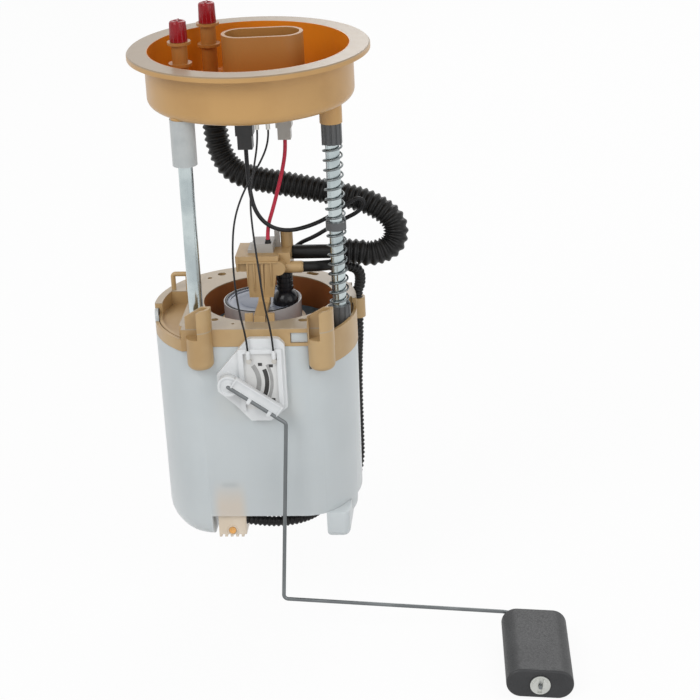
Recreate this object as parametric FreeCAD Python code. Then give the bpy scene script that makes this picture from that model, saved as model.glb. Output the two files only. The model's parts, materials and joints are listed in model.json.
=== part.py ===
"""Fuel pump module: a flange with two guide rods, and a sprung reservoir that slides on them.

The origin is the centre of the flange's seat, the underside of the brim that rests on the
fuel tank. +Z points up, out of the tank, and -Y points to the side with the level sender.
All lengths are millimetres.
"""
import FreeCAD
import Part
import math
import os

V = FreeCAD.Vector
UP = V(0, 0, 1)

# Flange: a brim round a deep bowl
brim_diameter = 134.0
brim_thickness = 3.0
brim_edge_chamfer = 0.8
bowl_diameter = 115.0
bowl_wall = 2.0
bowl_depth = 27.0
bowl_floor = 2.5
bowl_outer_fillet = 5.0
bowl_inner_fillet = 3.0

# Electrical socket that stands in the bowl
socket_at = (8.2, -1.0)
socket_turn = 5.0
socket_length = 45.0
socket_width = 23.0
socket_wall = 2.0
socket_top = 10.5
socket_depth = 19.5
pin_pitch = 6.6
pin_width = 2.8
pin_thickness = 0.8
pin_height = 11.0
pin_tail = 3.0
pin_count = 5

# Two nipples with their pull-off caps
front_nipple_at = (-37.0, -7.0)
rear_nipple_at = (-27.0, 35.0)
nipple_diameter = 8.7
nipple_bore = 4.5
nipple_tip_diameter = 7.4
nipple_tip_length = 9.0
nipple_seat_height = 8.0
collar_diameter = 13.0
collar_thickness = 1.5
lower_collar_drop = 12.0
cap_base_diameter = 10.4
cap_top_diameter = 9.2
cap_height = 12.5
cap_roof = 2.0
cap_crown_fillet = 1.2
cap_seat_gap = 0.1
cap_rib_count = 6
cap_rib_width = 1.3
cap_rib_depth = 0.9
loose_clearance = 0.3

# Guide rods, their seats in the flange and their stops
left_rod_inset = 28.8
left_rod_y = -37.0
right_rod_inset = 8.4
right_rod_y = -14.0
rod_diameter = 8.0
rod_seat_height = 6.0
rod_boss_wall = 2.3
rod_boss_roof = 2.0
rod_tip_length = 5.0
rod_tip_chamfer = 0.8
clip_diameter = 9.6
clip_thickness = 1.2
clip_groove_depth = 0.8
clip_gap = 0.2
running_clearance = 0.06

# Sleeves under the bowl
left_sleeve_diameter = 13.6
left_sleeve_length = 26.0
right_boss_length = 10.4
right_sleeve_diameter = 11.4
right_sleeve_length = 12.0
flute_count = 12
flute_radius = 0.55

# Two springs and the collar between them
spring_diameter = 11.5
spring_wire = 1.1
spring_turns = 8.0
coil_facets = 12
wire_facets = 6
mid_collar_diameter = 11.5
mid_collar_height = 4.6
spring_seat_gap = 0.15

# Plugs and terminals under the bowl
black_plug_at = (-4.1, -5.0)
black_plug_size = (9.8, 9.0)
black_plug_length = 27.0
white_plug_at = (17.4, 0.0)
white_plug_size = (8.8, 8.0)
white_plug_length = 23.3
plug_lip = 0.8
plug_head_share = 0.7
terminal_places = ((4.8, -20.0), (10.9, -20.0))
terminal_width = 2.4
terminal_thickness = 1.2
terminal_length = 12.0
terminal_crimp_length = 6.0
terminal_overlap = 1.2

# Ring that holds the pump and hangs the pot
body_at = (-4.4, -4.0)
body_radius = 57.8
body_front = -48.5
ring_top = -145.0
ring_deck = 3.0
skirt_wall = 1.8
left_skirt_bottom = -158.0
right_skirt_bottom = -170.0
front_band_bottom = -155.5
left_skirt_back = -20.0
right_skirt_back = 0.0
opening_at = (3.0, 0.0)
opening_diameter = 74.6
opening_wall = 2.0
opening_depth = 18.0
opening_floor = 2.0
window_centre_x = 24.8
window_width = 9.6
window_top = -147.6
window_height = 6.2
left_rim_top = -151.0
right_rim_top = -151.0
left_rim_back = -7.0
right_rim_back = -2.0
rim_cut_depth = 9.0
left_well_offset = 7.6
left_well_y = (-45.0, 14.0)
left_well_floor = -153.0
right_well_offset = 8.5
thin_wall = 0.8
right_well_back = 2.0
well_floor_thickness = 4.0
rim_play = 0.3
deck_holes = ((-29.5, 39.8, 5.0), (-35.7, 33.3, 2.6), (-23.8, -33.6, 4.0), (-12.8, -40.4, 1.8))
deck_slots = ((24.5, 38.6, 8.0, 4.0, -30.0), (27.0, -35.8, 7.0, 4.2, 0.0))
seat_window_front = 9.0
seat_spoke_width = 7.0
tab_play = 0.1
tab_thickness = 1.4
tab_root = 4.0

# Bushes that guide the rods
bush_floor = -158.4
bush_diameter = 12.2
bush_height = 14.3
bush_spigot_diameter = 10.8
bush_wall = 1.9

# Towers on the front of the ring
tower_places = ((-30.9, -132.0), (37.1, -133.0))
tower_lips = (-3.0, 1.3)
tower_radius = 7.4
tower_wall = 1.7
tower_foot = 18.7
tower_rise = 17.0
tower_slot_end = 7.5
tower_slant = 6.0
tower_slant_end = 2.2
tower_foot_fillet = 3.3

# Handle post on the left of the ring
handle_at = (-50.0, 15.0)
handle_span = 8.6
handle_height = 9.6
handle_wire = 2.8
handle_bend = 1.6

# Reservoir pot
pot_wall = 1.8
pot_bottom = -276.0
pot_shrink = 1.2
pot_corner_radius = 9.0
recess_roof = -260.5
recess_x = (-31.0, 34.8)
recess_back = 27.0
foot_back = -18.0

# Pump and its cup
pump_at = (-0.5, -1.5)
cup_wall = 1.9
isolator_thickness = 0.9
cup_floor = 2.0
cup_floor_hole = 20.0
cup_port_width = 10.0
cup_port_height = 8.0
cup_port_angles = (30, 150, 270)
isolator_height = 6.0
isolator_sink = 0.6
pump_diameter = 39.0
can_wall = 1.2
pump_fit = 0.05
top_cover_sink = 1.2
top_cover_height = 9.0
can_length = 66.0
inlet_cover_height = 11.0
chamber_plate = 4.0
inlet_port_diameter = 11.0
inlet_port_length = 5.0
inlet_port_wall = 1.5
inlet_roof = 3.0
inlet_channel_floor = 2.0
inlet_channel_width = 4.0
chamber_port_diameter = 3.5
chamber_port_inset = 2.5
shaft_diameter = 4.0
rotor_diameter = 24.0
rotor_length = 36.0
rotor_slot_count = 8
rotor_slot_width = 2.0
rotor_slot_depth = 4.0
commutator_diameter = 14.0
commutator_height = 7.0
impeller_diameter = 31.0
impeller_thickness = 3.6
vane_count = 24
vane_depth = 3.0
vane_gap = 2.0
magnet_gap = 1.5
magnet_arc = 140.0
bearing_diameter = 8.0
bearing_length = 5.0
brush_size = 4.0
brush_length = 6.0
brush_offset = 4.6
brush_roof = 2.0
brush_spring_diameter = 3.4
brush_spring_wire = 0.5
brush_spring_turns = 4.0
strainer_diameter = 30.0
strainer_height = 3.0
strainer_floor = 1.0
inlet_valve_diameter = 12.0
inlet_valve_thickness = 1.0
valve_stem = 3.0
valve_stem_reach = 1.0
valve_hole_diameter = 8.4

# Outlet bracket on the pump
bracket_top = -115.0
bracket_roof = 3.4
bracket_roof_x = (-13.0, 10.8)
bracket_roof_back = 9.5
web_y = (-14.0, -10.6)
web_top_x = (-7.0, 11.6)
web_bottom_x = (-6.0, 7.6)
web_groove_x = (0.2, 3.6)
web_groove_depth = 1.0
web_rib_width = 1.2
web_bottom = -139.5
foot_x = (-1.0, 5.4)
foot_top = -141.2
foot_thickness = 3.0
foot_overhang = 1.7
foot_toe_length = 5.1
foot_toe_slope = 1.0
finger_width = 4.6
finger_gap = 0.5
finger_height = 4.8
finger_thickness = 2.0
manifold_x = (4.5, 17.5)
manifold_y = (-8.5, 9.5)
manifold_bottom = -126.7
hose_nipple_z = -119.2
hose_nipple_y = 5.0
hose_nipple_diameter = 5.0
hose_nipple_length = 14.0
jet_nipple_z = -124.6
jet_nipple_y = -5.0
jet_nipple_end = 24.2
jet_neck_diameter = 4.6
jet_neck_length = 1.5
stub_at = (14.6, 5.0)
stub_top = -106.0
stub_diameter = 7.0
stub_bore = 4.8
valve_riser_diameter = 2.8
stub_roof = 1.6
poppet_diameter = 4.6
poppet_height = 4.0
poppet_spring_length = 5.5
poppet_spring_diameter = 4.2
poppet_spring_wire = 0.5
poppet_spring_turns = 4.0
pocket_x = (-13.0, -6.5)
pocket_y = (-12.6, -4.0)
pocket_z = (-124.4, -119.4)
pocket_wall = 1.6
boss_diameter = 8.2
boss_inset = 2.4
boss_lift = 2.2
cap_block_x = (-4.0, 8.0)
cap_block_y = (-8.0, 5.0)
cap_block_height = 5.3
cap_step_width = 2.4
cap_step_height = 2.0
cap_tab_width = 2.8
cap_tab_depth = 3.0
cap_tab_height = 9.6
elbow_at = (13.4, -5.3)
elbow_dome_diameter = 14.6
elbow_dome_rise = 1.6
elbow_diameter = 8.0
elbow_bore = 5.2
elbow_spigot_length = 6.0
elbow_ring_count = 4
elbow_ring_rise = 0.7
elbow_ring_share = 0.6

# Level sender on the front of the pot
sender_outline = ((-3.5, -149.5), (13.4, -149.5), (16.8, -153.0), (16.8, -191.0), (7.0, -199.0),
                  (-4.0, -199.0), (-12.0, -190.0), (-22.0, -181.0), (-22.0, -171.0))
sender_thickness = 5.0
sender_rail = 2.6
sender_recess = 1.6
sender_corner_radius = 3.0
bearing_rise = 1.0
track_x = (-6.5, 12.5)
track_top = -158.0
track_bottom = -192.0
track_thickness = 0.8
stud_places = ((-3.4, -162.6), (10.9, -162.6))
stud_diameter = 3.0
stud_height = 1.6

# Float arm
pivot_at = (-15.0, -175.1)
arm_plane = -60.0
pivot_pin_diameter = 5.0
hub_diameter = 12.0
lever_width = 9.0
lever_thickness = 3.0
lever_reach = 32.0
clip_wall = 1.4
lever_clip_places = (9.0, 25.0)
lever_clip_length = 4.0
pin_inset = 1.0
wiper_reach = (8.0, 16.0)
wiper_width = 4.0
wiper_thickness = 0.5
arm_wire = 2.8
arm_bend_radius = 5.0
arm_corners = ((15.3, -193.4), (8.8, -308.1), (134.7, -316.3), (151.8, -319.2))
float_lean = 4.0
wire_tail = 2.5
float_width = 36.8
float_thickness = 17.0
float_length = 74.0
float_tilt = -5.0
float_bore_clearance = 0.25
float_end_gap = 1.5
float_edge = 1.5
retainer_diameter = 11.0
retainer_thickness = 1.2

# Hoses and wires: each route's points run from the flange down
feed_hose_diameter = 13.0
feed_hose_route = ((-27, 35, -27), (-27, 35, -41), (-26.6, 34.2, -56), (-24.6, 32, -69.6),
                   (-17.6, 28, -80), (-5, 24.5, -83.8), (12, 21.8, -86), (31, 20, -88.8), (48.5, 19.2, -91.6),
                   (63.5, 17.3, -94.8),
                   (77, 13.5, -104), (76, 9.5, -117.5), (63, 6, -122), (54, 5, -119.2), (44, 5, -119.2))
hose_end_diameter = 8.0
jet_tube_diameter = 6.4
jet_upper_route = ((24.2, -5, -124.6), (31, -5, -124.6), (38, 0, -129.4), (45.5, 8, -130.4),
                   (54.5, 15.5, -133.8), (54.2, 20.2, -145), (51.9, 20.9, -149),
                   (51.9, 20.9, -157))
jet_lower_route = ((51.9, 20.9, -161), (51.9, 20.9, -173), (50.0, 25.6, -191), (49.0, 27.2, -215),
                   (48.8, 27.0, -243), (48.4, 26.2, -264), (43, 13, -269.4), (33, -2, -268),
                   (19, -16, -266.5), (4, -30, -265.5), (-4.5, -38, -264.6), (-12, -38, -264.6))
jet_socket_diameter = 9.0
jet_socket_depth = 4.0
jet_arm_width = 4.0
jet_socket_bore = 4.4
red_wire_diameter = 2.2
red_wire_route = ((17.4, 0, -50.3), (17.4, 0, -57), (15.4, -2, -67.5), (12.4, -4.5, -78.5), (9, -6, -90),
                  (5.2, -6.2, -100.9), (5.2, -6.2, -109.7))
black_wire_diameter = 2.4
black_wire_route = ((-4.1, -5, -54), (-4.1, -5, -63), (-3.4, -7, -76.5), (-0.8, -9.5, -89.5),
                    (6.2, -10, -98.5), (17, -7.5, -102.6), (29.5, -3, -101), (40, 1, -97.2), (49, 4, -91.5),
                    (56.5, 5.5, -87),
                    (60.5, 7, -91), (56, 8.5, -97), (47, 10.5, -102), (37.5, 12, -108), (29, 13.4, -113.5),
                    (20, 14.5, -117.5), (13, 14, -125), (10, 12, -136), (10, 12, -146.2))
thin_wire_diameter = 1.3
left_thin_route = ((10.9, -20, -39), (10.9, -20, -46), (6, -24, -57), (-3, -30, -70), (-8.5, -37, -84),
                   (-9.8, -43.5, -100), (-9.2, -48, -117), (-7.0, -52, -134), (-3.4, -54.2, -150),
                   (-3.4, -54.2, -160.6))
right_thin_route = ((4.8, -20, -39), (4.8, -20, -46), (2.8, -29.5, -59), (0.6, -36.5, -74), (2, -42, -91),
                    (4.5, -47, -109), (6.5, -51, -127.5), (10.9, -54.2, -148), (10.9, -54.2, -160.6))

# Jet pump in the recess at the foot of the pot
jet_pump_x = (-28.0, -12.0)
jet_pump_y = (-46.0, -31.0)
jet_pump_bottom = -275.0
jet_pump_top = -250.0
jet_riser_diameter = 8.0
jet_riser_height = 9.0
jet_riser_bore = 5.0
jet_bore_floor = 4.0
relief_diameter = 4.5
relief_depth = 2.0

# Places that several pieces share
left_rod_at = (body_at[0] - body_radius + left_rod_inset, left_rod_y)
right_rod_at = (body_at[0] + body_radius - right_rod_inset, right_rod_y)
left_well_x = left_rod_at[0] - left_well_offset
right_well_x = right_rod_at[0] - right_well_offset
bowl_radius = bowl_diameter / 2
bowl_underside = -bowl_depth
bowl_floor_top = bowl_underside + bowl_floor
rod_top = bowl_floor_top + rod_seat_height
ring_underside = ring_top - ring_deck
bush_top = bush_floor + bush_height
bush_bottom = bush_floor - well_floor_thickness
clip_top = bush_bottom - clip_gap
rod_bottom = clip_top - clip_thickness - rod_tip_length
right_boss_bottom = bowl_underside - right_boss_length
right_sleeve_bottom = right_boss_bottom - right_sleeve_length
spring_space = right_sleeve_bottom - bush_top
mid_collar_top = bush_top + (spring_space + mid_collar_height) / 2
mid_collar_bottom = mid_collar_top - mid_collar_height
recess_ceiling = recess_roof + pot_wall
inner_radius = body_radius - skirt_wall
cup_diameter = pump_diameter + 2 * (isolator_thickness + cup_wall)
cup_top = ring_top
pump_top = cup_top - top_cover_sink
can_top = pump_top - top_cover_height
can_bottom = can_top - can_length
inlet_top = can_bottom + inlet_cover_height / 2
inlet_bottom = can_bottom - inlet_cover_height / 2
chamber_top = inlet_top + chamber_plate + impeller_thickness + 2 * loose_clearance
impeller_bottom = inlet_top + loose_clearance
impeller_top = impeller_bottom + impeller_thickness
rotor_bottom = chamber_top + bearing_length + 2 * loose_clearance
rotor_top = rotor_bottom + rotor_length
commutator_top = rotor_top + commutator_height
valve_seat = stub_top - stub_roof - poppet_spring_length - poppet_height
sender_back = body_front
lever_slope = math.degrees(math.atan2(arm_corners[0][1] - pivot_at[1], arm_corners[0][0] - pivot_at[0]))
float_yaw = math.degrees(math.atan2(float_lean, float_length))
sender_front = sender_back - sender_thickness
bearing_front = sender_front - bearing_rise


def box(x, y, z):
    """A block between the two values of each pair."""
    low = V(min(x), min(y), min(z))
    return Part.makeBox(max(x) - low.x, max(y) - low.y, max(z) - low.z, low)


def rod(diameter, bottom, top, at=(0, 0)):
    """An upright round bar."""
    return Part.makeCylinder(diameter / 2, top - bottom, V(at[0], at[1], bottom))


def tube(outside, inside, bottom, top, at=(0, 0)):
    """An upright tube."""
    return rod(outside, bottom, top, at).cut(rod(inside, bottom, top, at))


def taper(lower, upper, bottom, top, at=(0, 0)):
    """An upright round bar whose diameter changes from lower to upper."""
    return Part.makeCone(lower / 2, upper / 2, top - bottom, V(at[0], at[1], bottom))


def bar_along_y(diameter, back, front, x, z):
    """A round bar along -Y, from back to front."""
    return Part.makeCylinder(diameter / 2, back - front, V(x, back, z), V(0, -1, 0))


def bar_along_x(diameter, start, end, y, z):
    """A round bar along X."""
    return Part.makeCylinder(diameter / 2, end - start, V(start, y, z), V(1, 0, 0))


def fused(first, *others):
    """One solid from pieces that overlap or touch."""
    solid = first
    for other in others:
        solid = solid.fuse(other)
    return solid


def join(first, *others):
    """One solid from pieces that overlap or touch, with its flat joints cleared."""
    return fused(first, *others).removeSplitter()


def turned(shape, degrees, at):
    """A copy turned about the upright line through a point."""
    copy = shape.copy()
    copy.rotate(V(at[0], at[1], 0), UP, degrees)
    return copy


def round_edges(shape, radius, wanted):
    """Fillet the edges for which wanted(edge) is true."""
    edges = [edge for edge in shape.Edges if wanted(edge)]
    return shape.makeFillet(radius, edges)


def level_circle(height, radius):
    """A test for round edges at one height with one radius."""
    def wanted(edge):
        box_of_edge = edge.BoundBox
        flat = abs(box_of_edge.ZMax - height) < 0.01 and abs(box_of_edge.ZMin - height) < 0.01
        return flat and isinstance(edge.Curve, Part.Circle) and abs(edge.Curve.Radius - radius) < 0.01
    return wanted


def stadium(length, width, bottom, top, at, degrees):
    """An upright bar with straight sides and half-round ends."""
    reach = (length - width) / 2
    middle = box((at[0] - reach, at[0] + reach), (at[1] - width / 2, at[1] + width / 2), (bottom, top))
    ends = [rod(width, bottom, top, (at[0] + side * reach, at[1])) for side in (-1, 1)]
    return turned(join(middle, *ends), degrees, at)


def front_plate(corners, back, front):
    """A plate that faces -Y, from its corners in X and Z."""
    points = [V(x, back, z) for x, z in corners]
    return Part.Face(Part.makePolygon(points + points[:1])).extrude(V(0, front - back, 0))


def route_wire(points, name):
    """Straight runs joined by tangent arcs, as large as the runs allow."""
    corners = [V(*point) for point in points]
    edges = []
    radii = []
    here = corners[0]
    for before, corner, after in zip(corners, corners[1:], corners[2:]):
        back = (before - corner).normalize()
        ahead = (after - corner).normalize()
        half_turn = (math.pi - back.getAngle(ahead)) / 2
        shorter = min((before - corner).Length, (after - corner).Length)
        reach = 0.45 * shorter
        radii.append(reach / math.tan(half_turn))
        start = corner + back * reach
        end = corner + ahead * reach
        bisector = (back + ahead).normalize()
        centre_distance = radii[-1] / math.cos(half_turn)
        middle = corner + bisector * (centre_distance - radii[-1])
        edges.append(Part.LineSegment(here, start).toShape())
        edges.append(Part.Arc(start, middle, end).toShape())
        here = end
    edges.append(Part.LineSegment(here, corners[-1]).toShape())
    print(name, "radii", [round(radius, 1) for radius in radii])
    return Part.Wire(edges)


def bent_wire(points, radius):
    """Straight runs joined by bends of one radius."""
    corners = [V(*point) for point in points]
    edges = []
    here = corners[0]
    for before, corner, after in zip(corners, corners[1:], corners[2:]):
        back = (before - corner).normalize()
        ahead = (after - corner).normalize()
        half_turn = (math.pi - back.getAngle(ahead)) / 2
        reach = radius * math.tan(half_turn)
        bisector = (back + ahead).normalize()
        middle = corner + bisector * (radius / math.cos(half_turn) - radius)
        start = corner + back * reach
        end = corner + ahead * reach
        edges.append(Part.LineSegment(here, start).toShape())
        edges.append(Part.Arc(start, middle, end).toShape())
        here = end
    edges.append(Part.LineSegment(here, corners[-1]).toShape())
    return Part.Wire(edges)


def swept_tube(wire, diameter, name):
    """A round bar along a route, with its volume compared with section times length."""
    start = wire.Vertexes[0].Point
    direction = wire.Edges[0].tangentAt(wire.Edges[0].FirstParameter)
    ring = Part.Wire(Part.makeCircle(diameter / 2, start, direction))
    solid = wire.makePipeShell([ring], True, True)
    expected = math.pi * diameter ** 2 / 4 * wire.Length
    print(name, "length", round(wire.Length, 1), "volume ratio", round(solid.Volume / expected, 4))
    return solid


def cord(points, diameter, name):
    """A hose or wire along its route."""
    return swept_tube(route_wire(points, name), diameter, name)


def coil_spring(diameter, wire, turns, bottom, top, at):
    """A helical spring with a many-sided wire, which stands between two heights."""
    radius = (diameter - wire) / 2
    height = top - bottom - wire
    steps = round(turns * coil_facets)
    sections = []
    for index in range(steps + 1):
        angle = 2 * math.pi * turns * index / steps
        level = bottom + wire / 2 + height * index / steps
        corners = []
        for side in range(wire_facets):
            lean = 2 * math.pi * side / wire_facets
            reach = radius + wire / 2 * math.cos(lean)
            corners.append(V(at[0] + reach * math.cos(angle), at[1] + reach * math.sin(angle),
                             level + wire / 2 * math.sin(lean)))
        sections.append(Part.makePolygon(corners + corners[:1]))
    return Part.makeLoft(sections, True, True)


def fluted(shape, diameter, bottom, top, at):
    """Cut upright flutes round a sleeve."""
    flutes = []
    for index in range(flute_count):
        angle = 2 * math.pi * index / flute_count
        place = (at[0] + diameter / 2 * math.cos(angle), at[1] + diameter / 2 * math.sin(angle))
        flutes.append(rod(2 * flute_radius, bottom, top, place))
    return shape.cut(Part.makeCompound(flutes))


def pin_blades(bottom, top):
    """The five flat blades of the socket."""
    blades = []
    for index in range(pin_count):
        x = socket_at[0] + (index - (pin_count - 1) / 2) * pin_pitch
        blade = box((x - pin_width / 2, x + pin_width / 2),
                    (socket_at[1] - pin_thickness / 2, socket_at[1] + pin_thickness / 2),
                    (bottom, top))
        blades.append(turned(blade, socket_turn, socket_at))
    return blades


def nipple(at):
    """A hose nipple with two collars that rises from the bowl's floor."""
    tip_top = nipple_seat_height + nipple_tip_length
    lower_top = nipple_seat_height - lower_collar_drop
    stem = rod(nipple_diameter, bowl_underside, nipple_seat_height, at)
    tip = rod(nipple_tip_diameter, nipple_seat_height, tip_top, at)
    seat = rod(collar_diameter, nipple_seat_height - collar_thickness, nipple_seat_height, at)
    lower = rod(collar_diameter, lower_top - collar_thickness, lower_top, at)
    return join(stem, tip, seat, lower)


def flange_cover():
    """Brim, bowl, socket, nipples and rod seats, moulded in one."""
    bowl = rod(bowl_diameter, bowl_underside, brim_thickness)
    bowl = round_edges(bowl, bowl_outer_fillet, level_circle(bowl_underside, bowl_radius))
    brim = rod(brim_diameter, 0, brim_thickness)
    brim = brim.makeChamfer(brim_edge_chamfer, [edge for edge in brim.Edges
                                                if level_circle(brim_thickness, brim_diameter / 2)(edge)])
    inside_radius = bowl_radius - bowl_wall
    inside = rod(2 * inside_radius, bowl_floor_top, brim_thickness + 1)
    inside = round_edges(inside, bowl_inner_fillet, level_circle(bowl_floor_top, inside_radius))
    shell = join(bowl, brim).cut(inside)
    socket = stadium(socket_length, socket_width, bowl_underside, socket_top, socket_at, socket_turn)
    cavity = stadium(socket_length - 2 * socket_wall, socket_width - 2 * socket_wall,
                     socket_top - socket_depth, socket_top + 1, socket_at, socket_turn)
    boss_diameter = rod_diameter + 2 * rod_boss_wall
    bosses = [rod(boss_diameter, bowl_underside, rod_top + rod_boss_roof, at)
              for at in (left_rod_at, right_rod_at)]
    right_boss = rod(boss_diameter, right_boss_bottom, bowl_floor_top, right_rod_at)
    solid = join(shell, socket, right_boss, nipple(front_nipple_at), nipple(rear_nipple_at), *bosses)
    bores = [rod(rod_diameter, right_boss_bottom - 1, rod_top, at) for at in (left_rod_at, right_rod_at)]
    tip_top = nipple_seat_height + nipple_tip_length
    bores += [rod(nipple_bore, bowl_underside - 1, tip_top + 1, at)
              for at in (front_nipple_at, rear_nipple_at)]
    slots = pin_blades(bowl_underside - pin_tail, socket_top - socket_depth + pin_height)
    return solid.cut(Part.makeCompound([cavity] + bores + slots))


def connector_pins():
    """The socket's blades, which pass down through the flange."""
    return Part.makeCompound(pin_blades(bowl_underside - pin_tail,
                                        socket_top - socket_depth + pin_height))


def cap(at):
    """A pull-off cap with ribs on its crown."""
    bottom = nipple_seat_height + cap_seat_gap
    top = bottom + cap_height
    shell = taper(cap_base_diameter, cap_top_diameter, bottom, top, at)
    shell = round_edges(shell, cap_crown_fillet, level_circle(top, cap_top_diameter / 2))
    bore = rod(nipple_tip_diameter + 2 * loose_clearance, bottom, top - cap_roof, at)
    solid = shell.cut(bore)
    grooves = []
    for index in range(cap_rib_count):
        groove = box((at[0] + cap_rib_width, at[0] + cap_top_diameter),
                     (at[1] - cap_rib_width / 2, at[1] + cap_rib_width / 2),
                     (top - cap_rib_depth, top + 1))
        grooves.append(turned(groove, 360 / cap_rib_count * index, at))
    return solid.cut(Part.makeCompound(grooves))


def guide_rod(at):
    """A plated rod with a groove for its clip near the lower end."""
    bar = rod(rod_diameter, rod_bottom, rod_top, at)
    bar = bar.makeChamfer(rod_tip_chamfer, [edge for edge in bar.Edges
                                            if level_circle(rod_bottom, rod_diameter / 2)(edge)])
    groove = tube(rod_diameter + 1, rod_diameter - 2 * clip_groove_depth,
                  clip_top - clip_thickness, clip_top, at)
    return bar.cut(groove)


def rod_clips():
    """The snap clips that stop the reservoir at the lower ends of the rods."""
    return Part.makeCompound([tube(clip_diameter, rod_diameter - 2 * clip_groove_depth,
                                   clip_top - clip_thickness, clip_top, at)
                              for at in (left_rod_at, right_rod_at)])


def left_rod_sleeve():
    """The pale sleeve on the left rod."""
    return tube(left_sleeve_diameter, rod_diameter,
                bowl_underside - left_sleeve_length, bowl_underside, left_rod_at)


def right_rod_sleeve():
    """The fluted sleeve that seats the upper spring."""
    sleeve = tube(right_sleeve_diameter, rod_diameter, right_sleeve_bottom, right_boss_bottom, right_rod_at)
    return fluted(sleeve, right_sleeve_diameter, right_sleeve_bottom, right_boss_bottom, right_rod_at)


def spring_upper():
    """The spring between the sleeve and the collar."""
    return coil_spring(spring_diameter, spring_wire, spring_turns, mid_collar_top + spring_seat_gap,
                       right_sleeve_bottom - spring_seat_gap, right_rod_at)


def spring_lower():
    """The spring between the collar and the right bush."""
    return coil_spring(spring_diameter, spring_wire, spring_turns, bush_top + spring_seat_gap,
                       mid_collar_bottom - spring_seat_gap, right_rod_at)


def spring_collar():
    """The collar that slides on the right rod between the springs."""
    return tube(mid_collar_diameter, rod_diameter + 2 * running_clearance,
                mid_collar_bottom, mid_collar_top, right_rod_at)


def guide_bush(at):
    """A fluted bush that stands on the ring, with a spigot through its floor."""
    body = fluted(rod(bush_diameter, bush_floor, bush_top, at), bush_diameter, bush_floor, bush_top, at)
    spigot = rod(bush_spigot_diameter, bush_bottom, bush_floor, at)
    return join(body, spigot).cut(rod(rod_diameter + 2 * running_clearance, bush_bottom, bush_top, at))


def plug(at, size, length):
    """A rectangular plug under the bowl, with a wider head against the bowl."""
    half_x = size[0] / 2
    half_y = size[1] / 2
    body = box((at[0] - half_x + plug_lip, at[0] + half_x - plug_lip),
               (at[1] - half_y + plug_lip, at[1] + half_y - plug_lip),
               (bowl_underside - length, bowl_underside))
    head = box((at[0] - half_x, at[0] + half_x), (at[1] - half_y, at[1] + half_y),
               (bowl_underside - length * plug_head_share, bowl_underside - pin_tail))
    tails = Part.makeCompound(pin_blades(bowl_underside - pin_tail, bowl_underside))
    return join(body, head).cut(tails)


def sender_terminals():
    """Two crimped terminals that hold the thin wires under the bowl."""
    terminals = []
    bottom = bowl_underside - terminal_length
    crimp_top = bottom + terminal_crimp_length
    for at in terminal_places:
        blade = box((at[0] - terminal_width / 2, at[0] + terminal_width / 2),
                    (at[1] - terminal_thickness / 2, at[1] + terminal_thickness / 2),
                    (crimp_top - terminal_overlap, bowl_underside))
        crimp = rod(terminal_width, bottom, crimp_top, at)
        terminals.append(join(blade, crimp))
    return Part.makeCompound(terminals)


def body_outline(inset, bottom, top):
    """The outline that the ring and the pot share, moved in by a wall: round with a flat front."""
    disc = rod(2 * (body_radius - inset), bottom, top, body_at)
    ahead = box((body_at[0] - 2 * body_radius, body_at[0] + 2 * body_radius),
                (body_front + inset, body_front - 2 * body_radius), (bottom - 1, top + 1))
    return disc.cut(ahead)


def front_region(bottom_left, bottom_right, gap):
    """The space in front, where the ring's skirt takes the place of the pot's rim."""
    far = 2 * body_radius
    left = box((-far, 0), (-far, left_skirt_back + gap), (bottom_left - gap, ring_underside + 1))
    right = box((0, far), (-far, right_skirt_back + gap), (bottom_right - gap, ring_underside + 1))
    return join(left, right)


def ring_skirt():
    """The skirt below the deck: deep at the sides and shallow across the flat front."""
    wall = body_outline(0, right_skirt_bottom, ring_top).cut(
        body_outline(skirt_wall, right_skirt_bottom - 1, ring_top + 1))
    skirt = wall.common(front_region(left_skirt_bottom, right_skirt_bottom, 0))
    below_band = box((tower_places[0][0], tower_places[1][0]), (body_front - 1, body_front + skirt_wall + 1),
                     (right_skirt_bottom - 1, front_band_bottom))
    return skirt.cut(below_band)


def well_box(side, inset, bottom, top):
    """The plan of the left or the right well, moved in by a wall."""
    if side == "left":
        space = box((-2 * body_radius, left_well_x - inset), (left_well_y[0] + inset, left_well_y[1] - inset),
                    (bottom, top))
        return space.common(body_outline(skirt_wall + 2 * rim_play + inset, bottom, top))
    space = box((right_well_x + inset, 2 * body_radius), (body_front, right_well_back - inset), (bottom, top))
    space = space.common(body_outline(skirt_wall + 2 * rim_play, bottom, top))
    return space.cut(rod(opening_diameter + 2 * thin_wall, bottom - 1, top + 1, opening_at))


def tower(x, top, lip):
    """A half-round tower with an open slot on its left and a slanted top."""
    slot_bottom = top - tower_rise
    bottom = slot_bottom - tower_foot
    back = body_front + skirt_wall
    round_part = rod(2 * tower_radius, bottom, top, (x, body_front))
    round_part = round_edges(round_part, tower_foot_fillet, level_circle(bottom, tower_radius))
    behind = box((x - 2 * tower_radius, x + 2 * tower_radius), (body_front, body_front + 2 * tower_radius),
                 (bottom - 1, top + 1))
    front_part = round_part.cut(behind)
    wall = box((x - tower_radius, x + tower_radius), (body_front, back), (front_band_bottom, top))
    hollow = rod(2 * (tower_radius - tower_wall), slot_bottom, top + 1, (x, body_front)).cut(behind)
    slot = box((x - tower_radius + lip, x - tower_radius + tower_slot_end),
               (body_front - 2 * tower_radius, body_front), (slot_bottom, top + 1))
    slant = front_plate(((x - tower_radius - 1, top - tower_slant), (x + tower_slant_end, top),
                         (x + tower_slant_end, top + 1), (x - tower_radius - 1, top + 1)),
                        body_front + 2 * tower_radius, body_front - 2 * tower_radius)
    return join(front_part, wall).cut(Part.makeCompound([hollow, slot])).cut(slant)


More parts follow.
